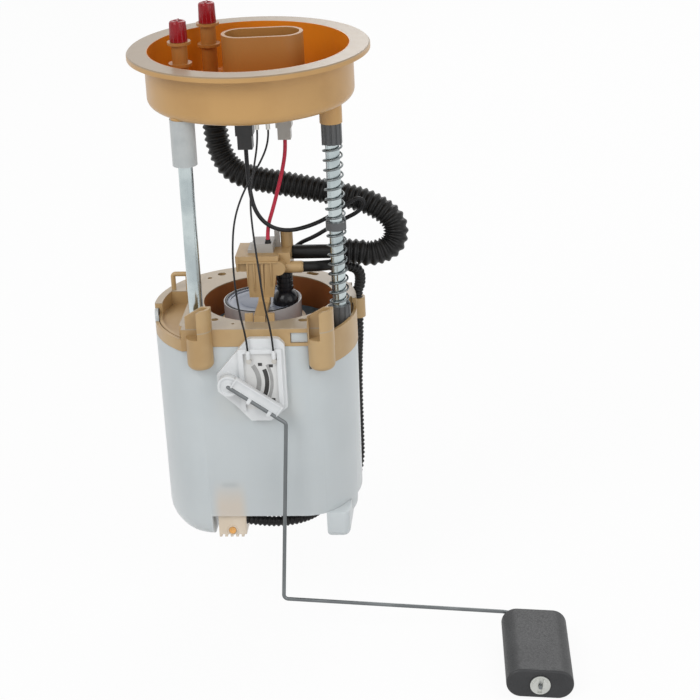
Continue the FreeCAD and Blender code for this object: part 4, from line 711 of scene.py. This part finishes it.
def cut(piece, *tools):
    """Take tools away from a piece with Boolean modifiers, and remove the tools."""
    only(piece)
    for tool in tools:
        difference = piece.modifiers.new("cut", "BOOLEAN")
        difference.operation = "DIFFERENCE"
        difference.object = tool
        difference.solver = "EXACT"
        bpy.ops.object.modifier_apply(modifier=difference.name)
        bpy.data.objects.remove(tool)


def finish(piece, look, soften=0.0002, node=None, body="reservoir"):
    """Close the edit, round the edges a little, and give the piece its finish and its body."""
    if bpy.context.mode == "EDIT_MESH":
        bpy.ops.mesh.select_all(action="SELECT")
        bpy.ops.mesh.normals_make_consistent(inside=False)
    only(piece)
    if soften:
        edge = piece.modifiers.new("soft edges", "BEVEL")
        edge.width = soften
        edge.segments = 2
        edge.limit_method = "ANGLE"
        edge.angle_limit = math.radians(35)
        bpy.ops.object.modifier_apply(modifier=edge.name)
    bpy.ops.object.shade_smooth_by_angle(angle=math.radians(32))
    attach(piece, body)
    dress(piece, look, node)
    mesh = bmesh.new()
    mesh.from_mesh(piece.data)
    open_edges = sum(not edge.is_manifold for edge in mesh.edges)
    print(piece.name, "has", len(mesh.faces), "faces and", open_edges, "open edges")
    mesh.free()


print("modelling helpers are ready")

# %% [markdown]
# Two red caps close the nipples. Each is a small polythene cup with soft flutes for the fingers, a
# rounded shoulder and a ridge across its dished crown. A cylinder gives the cup: its crown is drawn
# in, every fourth side face is pushed in for a flute, and the bore is pushed up from below.
# %% Red caps
def red_cap(name, node):
    low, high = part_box(node)
    centre = (low + high) / 2
    sides, flute, bore, shoulder = 48, 0.00022, 0.0040, 0.0012
    radius = (high.x - low.x) / 2 - 0.0002
    top = high.z - 0.0012
    piece = drum(name, sides, radius, low.z, top - shoulder, centre)
    facing(piece, UP)
    resize((centre.x, centre.y, top), 0.93, 0.93)
    crown = ((0.00015, 0.0006), (0.0004, 0.0004), (0.0007, 0.0002), (0.0006, 0.0),
             (0.0004, -0.0005))
    for inward, upward in crown:
        bpy.ops.mesh.inset(thickness=inward, depth=upward)
    facing(piece, DOWN)
    step(radius - bore, z=0.0090)

    def in_flute(point, normal):
        turn = math.atan2(point.y - centre.y, point.x - centre.x) / (2 * math.pi) % 1.0
        outside = abs(normal.z) < 0.3 and (point - centre).xy.length > radius * 0.85
        return outside and int(turn * sides + 0.01) % 4 == 0

    choose(piece, in_flute)
    bpy.ops.mesh.inset(thickness=0.00008, depth=-flute)
    ridge = slab("ridge", (0.0011, radius * 1.35, 0.0013), (centre.x, centre.y, top - 0.0002))
    join_to(piece, ridge)
    finish(piece, red_plastic, 0.00015, node, body=node)


red_cap("front_cap_ribbed", "front_cap")
red_cap("rear_cap_ribbed", "rear_cap")

# %% [markdown]
# A pressed steel nut holds the float on its wire. It is a thin disc with a raised middle, and its
# middle is cut by a slot whose lips bite the wire. The disc is a cylinder with its front face inset
# and pushed out. The slot is a second, leaning block, taken away with a Boolean modifier.
# %% Float retainer
def joint(name):
    """One of the frame's joints."""
    return next(item for item in frame["joints"] if item["name"] == name)


float_axis = Vector(joint("float_turn")["axis"]).normalized()
low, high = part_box("float_retainer")
retainer_centre = (low + high) / 2
lean = math.atan2(float_axis.x, -float_axis.y)
upright, slot_turn = math.radians(90), math.radians(9)
cutter = slab("slot_cutter", (0.0025, 0.0088, 0.0030), retainer_centre + float_axis * 0.0012,
              (upright, slot_turn, lean))
retainer = begin("float_nut", "cylinder", vertices=64, radius=0.0055, depth=0.0007,
                 location=retainer_centre + float_axis * -0.0002, rotation=(upright, 0, lean))
facing(retainer, float_axis)
step(0.0009, *(float_axis * 0.0004))
step(0.0006, *(float_axis * 0.0003))
cut(retainer, cutter)
nut_steel = metal("nut_steel", (0.62, 0.63, 0.60), (0.50, 0.51, 0.48), 0.36, even, Metallic=0.7)
finish(retainer, nut_steel, 0, "float_retainer", "float_arm")

# %% [markdown]
# The level sender's card is white ceramic with printed bands that curve about the lever's pivot:
# two grey resistor bands and a black contact band between them, with three solder pads. A band is
# cut out of a flat ring of faces, and its faces are pushed out by the thickness of the print.
# %% Bands on the sender's card
pivot = Vector(joint("float_arm_swing")["pos_m"])
card_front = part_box("sender_track")[0].y
print_thickness = 0.00012


def arc_band(name, inner, outer, start, stop):
    """A printed band between two radii and two angles about the lever's pivot."""
    centre = (pivot.x, card_front, pivot.z)
    band = begin(name, "circle", vertices=144, radius=outer, fill_type="NOTHING", location=centre,
                 rotation=(math.radians(90), 0, 0))
    bpy.ops.mesh.select_mode(type="EDGE")
    bpy.ops.mesh.select_all(action="SELECT")
    bpy.ops.mesh.extrude_edges_move()
    resize(centre, inner / outer, 1.0, inner / outer)
    bpy.ops.mesh.select_mode(type="FACE")

    def beyond(point, normal):
        angle = math.degrees(math.atan2(point.z - pivot.z, point.x - pivot.x))
        return not start < angle < stop

    choose(band, beyond)
    bpy.ops.mesh.delete(type="FACE")
    bpy.ops.mesh.select_all(action="SELECT")
    push(y=-print_thickness)
    leave_edit()
    return band


def pad(name, x, z):
    """A printed rectangle on the card, with softened corners."""
    width, height = 0.0023, 0.0018
    piece = slab(name, (width, print_thickness, height), (x, card_front - print_thickness / 2, z))
    facing(piece, FRONT)
    step(0.0002, y=-0.00006)
    finish(piece, carbon_ink, 0.00003)


resistor_grey = plastic("resistor_grey", (0.36, 0.36, 0.355), (0.29, 0.29, 0.285), 0.4, 0.004)
carbon_ink = plastic("carbon_ink", (0.032, 0.031, 0.03), (0.05, 0.048, 0.045), 0.45, 0.004)
inner_band = arc_band("grey_bands", 0.0153, 0.0179, -31, 36)
outer_band = arc_band("outer_band", 0.0229, 0.0247, -25, 24)
join_to(inner_band, outer_band)
finish(inner_band, resistor_grey, 0)
black_band = arc_band("contact_band", 0.0199, 0.0223, -25, 20)
finish(black_band, carbon_ink, 0)
for index, (x, z) in enumerate([(0.0027, -0.1649), (0.0087, -0.1658), (0.0090, -0.1862)]):
    pad("solder_pad_" + str(index + 1), x, z)

# %% [markdown]
# The jet pump is an ivory moulding in the recess at the pot's foot: a ribbed block that stands on
# short teeth, with a riser on top and a ring round its small orange plug. The block's underside is
# divided into strips, and every other strip is pushed down for a tooth.
# %% Jet pump
low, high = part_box("jet_pump")
tooth, strips, block_top = 0.0016, 10, -0.250
width = high.x - low.x
jet = block("jet_block", (low.x, high.x), (low.y, high.y), (low.z + tooth, block_top))
for index in range(1, strips):
    bpy.ops.mesh.select_all(action="SELECT")
    bpy.ops.mesh.bisect(plane_co=(low.x + width * index / strips, 0, 0), plane_no=(1, 0, 0))


def under_tooth(point, normal):
    return normal.z < -0.9 and int((point.x - low.x) / width * strips) % 2 == 0


print("teeth:", choose(jet, under_tooth))
push(z=-tooth)
facing(jet, UP)
step(0.0012, z=-0.0008)
riser_radius, button_radius, ring_radius = 0.004, 0.0019, 0.0030
riser = drum("riser", 40, riser_radius, block_top - 0.002, high.z, (low + high) / 2)
facing(riser, UP)
step(0.0014, z=-0.006)
plug_low, plug_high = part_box("relief_plug")
plug_centre = (plug_low + plug_high) / 2
button = disc("plug_button", 40, button_radius, low.y - 0.0012, low.y + 0.0004, plug_centre)
facing(button, FRONT)
step(0.0006, y=0.0004)
finish(button, orange_plastic, 0.00015)
ring = disc("plug_ring", 48, ring_radius, low.y - 0.0006, low.y + 0.0006, plug_centre)
facing(ring, FRONT)
step(0.0007, y=0.0005)
join_to(jet, riser, ring)
finish(jet, ivory_plastic, node="jet_pump")

# %% [markdown]
# The float hangs on one bent steel wire. It is rigid, with tight round bends, so it is not a cord:
# its corners are listed, each is rounded by an arc that touches both runs, and the sweep gives the
# wire.
# %% Float wire
wire_plane = -0.060
wire_radius = 0.0011
wire_corners = [(pivot.x, wire_plane + 0.0015, pivot.z), (pivot.x, wire_plane, pivot.z)]
for x, z in ((0.0163, -0.1972), (0.0090, -0.3078), (0.1347, -0.3163)):
    wire_corners.append((x, wire_plane, z))


def rounded_run(corners, bend, steps=7):
    """The points of a rigid wire whose corners are rounded by arcs."""
    points = [Vector(corners[0])]
    for before, corner, after in zip(corners, corners[1:], corners[2:]):
        corner = Vector(corner)
        towards = (Vector(before) - corner).normalized()
        onwards = (Vector(after) - corner).normalized()
        half = towards.angle(onwards) / 2
        reach = min(bend / math.tan(half), (Vector(before) - corner).length * 0.45)
        middle = corner + (towards + onwards).normalized() * reach / math.cos(half)
        start, stop = corner + towards * reach - middle, corner + onwards * reach - middle
        first, last, size = start.normalized(), stop.normalized(), start.length
        shares = [index / steps for index in range(steps + 1)]
        points += [middle + first.slerp(last, share) * size for share in shares]
    return np.array([*points, Vector(corners[-1])])


spine = Vector(joint("float_turn")["pos_m"])
tail_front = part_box("float_wire")[0].y + 0.0006
tail_end = spine + float_axis * ((tail_front - spine.y) / float_axis.y)
wire_start = spine + float_axis * ((wire_plane - spine.y) / float_axis.y)
run = rounded_run([*wire_corners, tuple(wire_start), tuple(tail_end)], 0.0026)
float_rod = swept_tube("float_rod", run, np.full(len(run), wire_radius), 16)
finish(float_rod, arm_steel, 0, "float_wire", "float_arm")

# %% [markdown]
# The wire is held by a white lever that turns on the sender. Its hub is a disc with a raised ring,
# the arm is a bar whose face is set back between low walls, and the wire lies along the bar's lower
# edge under two small hooks. The bar and the hooks are blocks turned to the wire's slope as they
# are added.
# %% Lever
lever_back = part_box("arm_holder")[1].y
lever_start, lever_end = Vector(wire_corners[1]), Vector(wire_corners[2])
slope = math.atan2(lever_start.z - lever_end.z, lever_end.x - lever_start.x)
along = Vector((math.cos(slope), 0, -math.sin(slope)))
aside = Vector((math.sin(slope), 0, math.cos(slope)))


def on_lever(name, distance, offset, length, width, front, rear):
    """A block on the lever, placed along and beside the wire, between two depths."""
    at = pivot + along * distance + aside * offset
    size = (length, rear - front, width)
    return slab(name, size, (at.x, (front + rear) / 2, at.z), (0, slope, 0))


bar = on_lever("sender_lever", 0.0165, 0.0031, 0.0310, 0.0080, -0.0607, -0.0572)
facing(bar, FRONT)
step(0.0009, y=0.0008)
hub_radius, stem_radius = 0.0060, 0.0025
hub = disc("hub", 56, hub_radius, -0.0594, -0.0558, pivot)
facing(hub, FRONT)
step(0.0013, y=0.0007)
step(0.0013, y=-0.0004)
stem = disc("stem", 32, stem_radius, wire_plane, lever_back, pivot)
hooks = []
for place in (0.0140, 0.0272):
    hooks.append(on_lever("hook", place, -0.0004, 0.0024, 0.0036, -0.0617, -0.0585))
    facing(hooks[-1], FRONT)
    resize(pivot + along * place, 0.85, 1.0, 0.85)
join_to(bar, hub, stem, *hooks)
finish(bar, white_plastic, 0.0003, "arm_holder", "float_arm")

# %% [markdown]
# The thin wires end in two white posts above the card's studs. Each post is a short turned pin: a
# cylinder whose upper end is drawn in to a collar round the wire.
# %% Wire posts
for name, route in (("left_wire_post", left_thin_route), ("right_wire_post", right_thin_route)):
    at = Vector(route[-1]) + Vector((0, 0, 0.0020))
    post = begin(name, "cylinder", vertices=24, radius=0.0012, depth=0.0042, location=at)
    facing(post, UP)
    step(0.0003, z=0.0007)
    finish(post, white_plastic)

# %% [markdown]
# The pump sits in its cup with a black rubber gasket between the two, which shows as a dark line
# inside the pale rim. The gasket is a ring: a cylinder whose top and bottom are inset and joined by
# a bridge. The pump's own top is a grey disc with a step near its edge.
# %% Gasket and pump top
cup_low, cup_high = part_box("pump_cup")
cup_centre = (cup_low + cup_high) / 2
cup_radius = (cup_high.x - cup_low.x) / 2

gasket_outer, gasket_inner, cover_gap = 0.0006, 0.0019, 0.0020
gasket = drum("pump_gasket", 96, cup_radius - gasket_outer,
              cup_high.z - 0.0020, cup_high.z + 0.0003, cup_centre)
choose(gasket, lambda point, normal: abs(normal.z) > 0.9)
bpy.ops.mesh.inset(thickness=gasket_inner - gasket_outer)
bpy.ops.mesh.delete(type="ONLY_FACE")
bpy.ops.mesh.select_mode(type="EDGE")
for edge in bmesh.from_edit_mesh(gasket.data).edges:
    edge.select_set(edge.is_boundary)
bpy.ops.mesh.bridge_edge_loops()
finish(gasket, black_rubber)
cover_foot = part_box("pump_top_cover")[0].z
cover = drum("pump_top", 96, cup_radius - cover_gap, cover_foot, cup_high.z - 0.0004, cup_centre)
facing(cover, UP)
step(0.0016, z=-0.0007)
step(0.0060, z=0.0003)
finish(cover, grey_plastic, node="pump_top_cover")

# %% [markdown]
# The outlet bracket is stiffened by thin ribs on its front web and by a short round arm that
# carries the jet tube. They are small blocks and a cylinder with softened edges, set on the CAD
# bracket's faces.
# %% Ribs and arm on the bracket
web_front = -0.0140
ribs = ((-0.0064, 0.0011, -0.1190, -0.1330, 0.0005), (-0.0026, 0.0009, -0.1190, -0.1360, 0.0005),
        (0.0070, 0.0010, -0.1190, -0.1330, 0.0005), (-0.0120, 0.0014, -0.1155, -0.1240, 0.0))
for index, (x, width, top, bottom, forward) in enumerate(ribs):
    rib = slab("bracket_rib_" + str(index + 1), (width, 0.0014, top - bottom),
               (x, web_front - forward, (top + bottom) / 2))
    facing(rib, DOWN)
    resize((x, web_front, bottom), 0.6, 0.5)
    finish(rib, tan_plastic)
lip = block("bracket_lip", (-0.0129, 0.0107), (web_front - 0.0009, web_front + 0.0003),
            (-0.1190, -0.1180))
facing(lip, FRONT)
bpy.ops.mesh.inset(thickness=0.0002)
finish(lip, tan_plastic)
jet_arm = begin("jet_arm", "cylinder", vertices=40, radius=0.0034, depth=0.0135,
                location=(0.0173, -0.0068, -0.1240), rotation=(0, math.radians(90), 0))
facing(jet_arm, RIGHT)
step(0.0006, x=0.0006)
finish(jet_arm, tan_plastic, 0.0003)

# %% [markdown]
# The pot is blown thin, so none of its corners is sharp: the flat front runs into the round sides,
# and the feet are round below. Its outline is drawn once, with an arc at each end of the flat. The
# face is pushed down for the wall, and inset in small steps for the rounded foot. The same form,
# set in by the wall, is taken away with Booleans, and so are the space under the floor and the
# notches for the ring. A leg at the right, with its lower edges rounded, and a latch at the front
# are joined on.
# %% Pot
pot_low, pot_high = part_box("reservoir_pot")
pot_axis = Vector((-0.0044, -0.0040, 0))
pot_radius, pot_wall, pot_front = 0.0578, 0.0018, -0.0485
pot_taper, foot_radius, corner_radius = 0.0012, 0.0130, 0.0240
recess_left, recess_right, recess_back, recess_roof = -0.0310, 0.0348, 0.0270, -0.2605
foot_back = -0.0180
left_rim, front_rim, right_rim = -0.1580, -0.1555, -0.1700
leg_right, leg_front, leg_back, leg_top = 0.0478, -0.0455, -0.0195, -0.2600


def pot_outline(inset):
    """The pot's outline: a circle, a flat front, and arcs that join them."""
    radius, flat, bend = pot_radius - inset, pot_front + inset - pot_axis.y, corner_radius - inset
    drop = flat + bend
    reach = math.sqrt((radius - bend) ** 2 - drop ** 2)
    turn = math.atan2(drop, reach)
    points = [(reach + bend * math.cos(angle), drop + bend * math.sin(angle))
              for angle in np.linspace(-math.pi / 2, turn, 14)]
    points += [(radius * math.cos(angle), radius * math.sin(angle))
               for angle in np.linspace(turn, math.pi - turn, 90)[1:-1]]
    points += [(-x, y) for x, y in reversed(points[:14])]
    return [(pot_axis.x + x, pot_axis.y + y) for x, y in points]


def pot_form(name, inset, top):
    """A solid drum in the pot's outline with a rounded foot."""
    mesh = bpy.data.meshes.new(name)
    outline = pot_outline(inset)
    mesh.from_pydata([(x, y, top) for x, y in outline], [], [list(range(len(outline)))])
    piece = bpy.data.objects.new(name, mesh)
    bpy.context.scene.collection.objects.link(piece)
    only(piece)
    bpy.ops.object.mode_set(mode="EDIT")
    bpy.ops.mesh.select_mode(type="FACE")
    bpy.ops.mesh.select_all(action="SELECT")
    bend = foot_radius - inset
    bottom = pot_low.z + inset
    push(z=bottom + bend - top)
    share = 1 - pot_taper / pot_radius
    resize((pot_axis.x, pot_front, bottom), share, share)
    angles = np.linspace(0, math.pi / 2, 8)
    for first, second in zip(angles, angles[1:]):
        inward = bend * (math.cos(first) - math.cos(second))
        downward = bend * (math.sin(second) - math.sin(first))
        bpy.ops.mesh.inset(thickness=inward)
        bpy.ops.transform.translate(value=(0, 0, -downward))
    bpy.ops.mesh.select_all(action="SELECT")
    bpy.ops.mesh.normals_make_consistent(inside=False)
    return piece


far, under = 0.12, pot_low.z - 0.002
gap = 0.0002
room = pot_form("room", pot_wall, pot_high.z + 0.001)
floor_z = (under, recess_roof + pot_wall)
wall_left, wall_right = recess_left - pot_wall, recess_right + pot_wall
wall_back = recess_back + pot_wall
cut(room, block("space", (wall_left, wall_right), (-far, wall_back), floor_z),
    block("space", (wall_right - 0.001, far), (foot_back - pot_wall, wall_back), floor_z))
pot = pot_form("pot", 0, pot_high.z)
jet_low, jet_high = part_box("jet_pump")
recess_z, hole_z = (under, recess_roof), (recess_roof - 0.001, recess_roof + 0.003)
cut(pot, room, block("recess", (recess_left, recess_right), (-far, recess_back), recess_z),
    block("recess", (recess_right - 0.001, far), (foot_back, recess_back), recess_z),
    block("jet hole", (jet_low.x, jet_high.x), (jet_low.y, jet_high.y), hole_z),
    block("left rim", (-far, -0.0235), (-far, -0.0200 + gap), (left_rim - gap, 0)),
    block("front rim", (-0.0236, 0.0297), (-far, pot_front + pot_wall + gap + 0.0010),
          (front_rim - gap, 0)),
    block("right rim", (0.0296, far), (-far, gap), (right_rim - gap, 0)))
leg = block("leg", (recess_right, leg_right), (leg_front, leg_back), (pot_foot, leg_top))
bpy.ops.mesh.select_all(action="DESELECT")
bpy.ops.mesh.select_mode(type="EDGE")
for edge in bmesh.from_edit_mesh(leg.data).edges:
    ends = [corner.co for corner in edge.verts]
    below = all(end.z < pot_foot + 0.0005 for end in ends)
    outer = all(end.x > leg_right - 0.0005 and end.y < leg_front + 0.0005 for end in ends)
    edge.select_set(below or outer)
bpy.ops.mesh.bevel(offset=0.0042, segments=5)
latch_x = (0.0202, 0.0294)
latch = block("latch", latch_x, (pot_front + 0.0019, pot_front + 0.0033), (-0.1595, pot_high.z))
nose = block("nose", latch_x, (pot_front + 0.0009, pot_front + 0.0030), (-0.1536, pot_high.z))
join_to(pot, latch, nose, leg)
finish(pot, pot_plastic, 0.00025, "reservoir_pot")

# %% [markdown]
# Where the red wire enters its white cap, a short black boot keeps it from kinking. It is a turned
# shape on the wire, which a cylinder with a narrower neck gives.
# %% Boot on the red wire
at = Vector(red_route[-1]) + Vector((0, 0, 0.0008))
boot_radius, boot_height = 0.0019, 0.0016
boot = begin("red_wire_boot", "cylinder", vertices=32, radius=boot_radius, depth=boot_height,
             location=at)
facing(boot, UP)
resize(at, 0.75, 0.75)
push(z=boot_height * 0.4)
finish(boot, hose_rubber)

# %% [markdown]
# The rest is seen plainly, so every CAD solid gets the finish that its real part has. Each finish
# stands beside the solids that it covers. The solids that needed finer shapes are replaced already.
# %% Finishes on the CAD solids
def float_finish():
    """Closed foam: a fine pitted skin, nearly black."""
    look = Look("float_foam")
    pits = look.node("ShaderNodeTexVoronoi", None, {"Vector": look.place(), "Scale": 900.0})
    clouds = look.noise(60.0, 3.0).between(0.35, 0.7)
    colour = look.mix(clouds * 0.5 + pits * 0.5, (0.022, 0.0225, 0.024), (0.036, 0.037, 0.039))
    look.set(Base_Color=colour, Roughness=0.42 + pits * 0.2, Specular_IOR_Level=0.4)
    look.bump(pits + clouds * 0.4, 0.5, 0.0001)
    return look


float_foam = float_finish()
ceramic = plastic("ceramic", (0.70, 0.705, 0.70), (0.62, 0.62, 0.61), 0.3)
finishes = {
    amber_plastic: ["flange_cover"],
    tan_plastic: ["holder_ring", "outlet_bracket"],
    white_plastic: ["inlet_strainer", "sender_body"],
    smoky_plastic: ["bracket_cap", "white_plug"],
    milky_plastic: ["left_rod_sleeve"],
    rim_plastic: ["pump_cup"],
    dark_plastic: ["right_rod_sleeve", "spring_collar", "left_bush", "right_bush"],
    black_plastic: ["black_plug", "impeller", "brushes"],
    grey_plastic: ["pump_inlet_cover", "pump_chamber"],
    orange_plastic: ["relief_plug"],
    ferrite: ["magnets"],
    black_rubber: ["pump_isolators", "inlet_valve", "check_valve_poppet", "pump_elbow"],
    hose_rubber: ["feed_hose_end"],
    zinc: ["left_rod", "right_rod", "pump_can"],
    spring_steel: ["rod_clips", "armature"],
    tin: ["connector_pins", "sender_terminals", "sender_studs"],
    copper: ["commutator", "pump_bearings", "brush_springs", "wiper_contact"],
    float_foam: ["fuel_float"],
    ceramic: ["sender_track"],
}
for look, names in finishes.items():
    for name in names:
        look.cover(nodes[name])
print("finished", sum(len(names) for names in finishes.values()), "CAD solids")

# %% [markdown]
# The picture has a plain white ground and soft light from all round, a little stronger from the
# upper left. Large dim lamps give that. The floor is nearly white to the camera and to reflections,
# so that it keeps a faint shadow.
# %% Floor, light and world
def white_where_seen(look, share, plain_shader, glow_kind, output):
    """Show plain white to the camera, to reflections and through glass."""
    paths = look.tree.nodes.new("ShaderNodeLightPath")
    seen = Term(look, paths.outputs["Is Camera Ray"])
    for name in ("Is Glossy Ray", "Is Transmission Ray"):
        seen = seen.math("MAXIMUM", Term(look, paths.outputs[name]))
    glow = look.node(glow_kind, None, {"Color": (1.0, 1.0, 1.0), "Strength": 1.0})
    mixed = look.node("ShaderNodeMixShader", None, [seen * share, Term(look, plain_shader), glow])
    look.feed(look.tree.nodes[output].inputs["Surface"], mixed)


floor_size, floor_gap = 8.0, 0.0005
object_middle = Vector((0.03, -0.02, -0.13))
ground = Look("ground")
ground.set(Base_Color=(0.8, 0.8, 0.8), Roughness=0.9)
white_where_seen(ground, 0.93, ground.shader.outputs[0], "ShaderNodeEmission", "Material Output")
bpy.ops.mesh.primitive_plane_add(size=floor_size, location=(0, 0, cad_low.z - floor_gap))
floor = bpy.context.object
floor.name = "floor"
ground.cover(floor)


def lamp(name, at, size, power):
    """A square lamp that faces the middle of the object."""
    light = bpy.data.lights.new(name, "AREA")
    light.size = size
    light.energy = power
    holder = bpy.data.objects.new(name, light)
    bpy.context.scene.collection.objects.link(holder)
    holder.location = at
    towards = object_middle - Vector(at)
    holder.rotation_euler = towards.to_track_quat("-Z", "Y").to_euler()


lamp("key", (-0.9, -1.3, 1.2), 1.0, 16.0)
lamp("fill", (1.2, -1.1, 0.5), 1.2, 8.0)
lamp("rim", (0.3, 1.4, 0.9), 1.0, 8.0)
world = bpy.data.worlds.new("studio")
bpy.context.scene.world = world
sky = Look("studio", world)
sky.set(Color=(1.0, 1.0, 1.0), Strength=0.55)
white_where_seen(sky, 1.0, sky.shader.outputs[0], "ShaderNodeBackground", "World Output")
bpy.context.scene.view_settings.view_transform = "Standard"
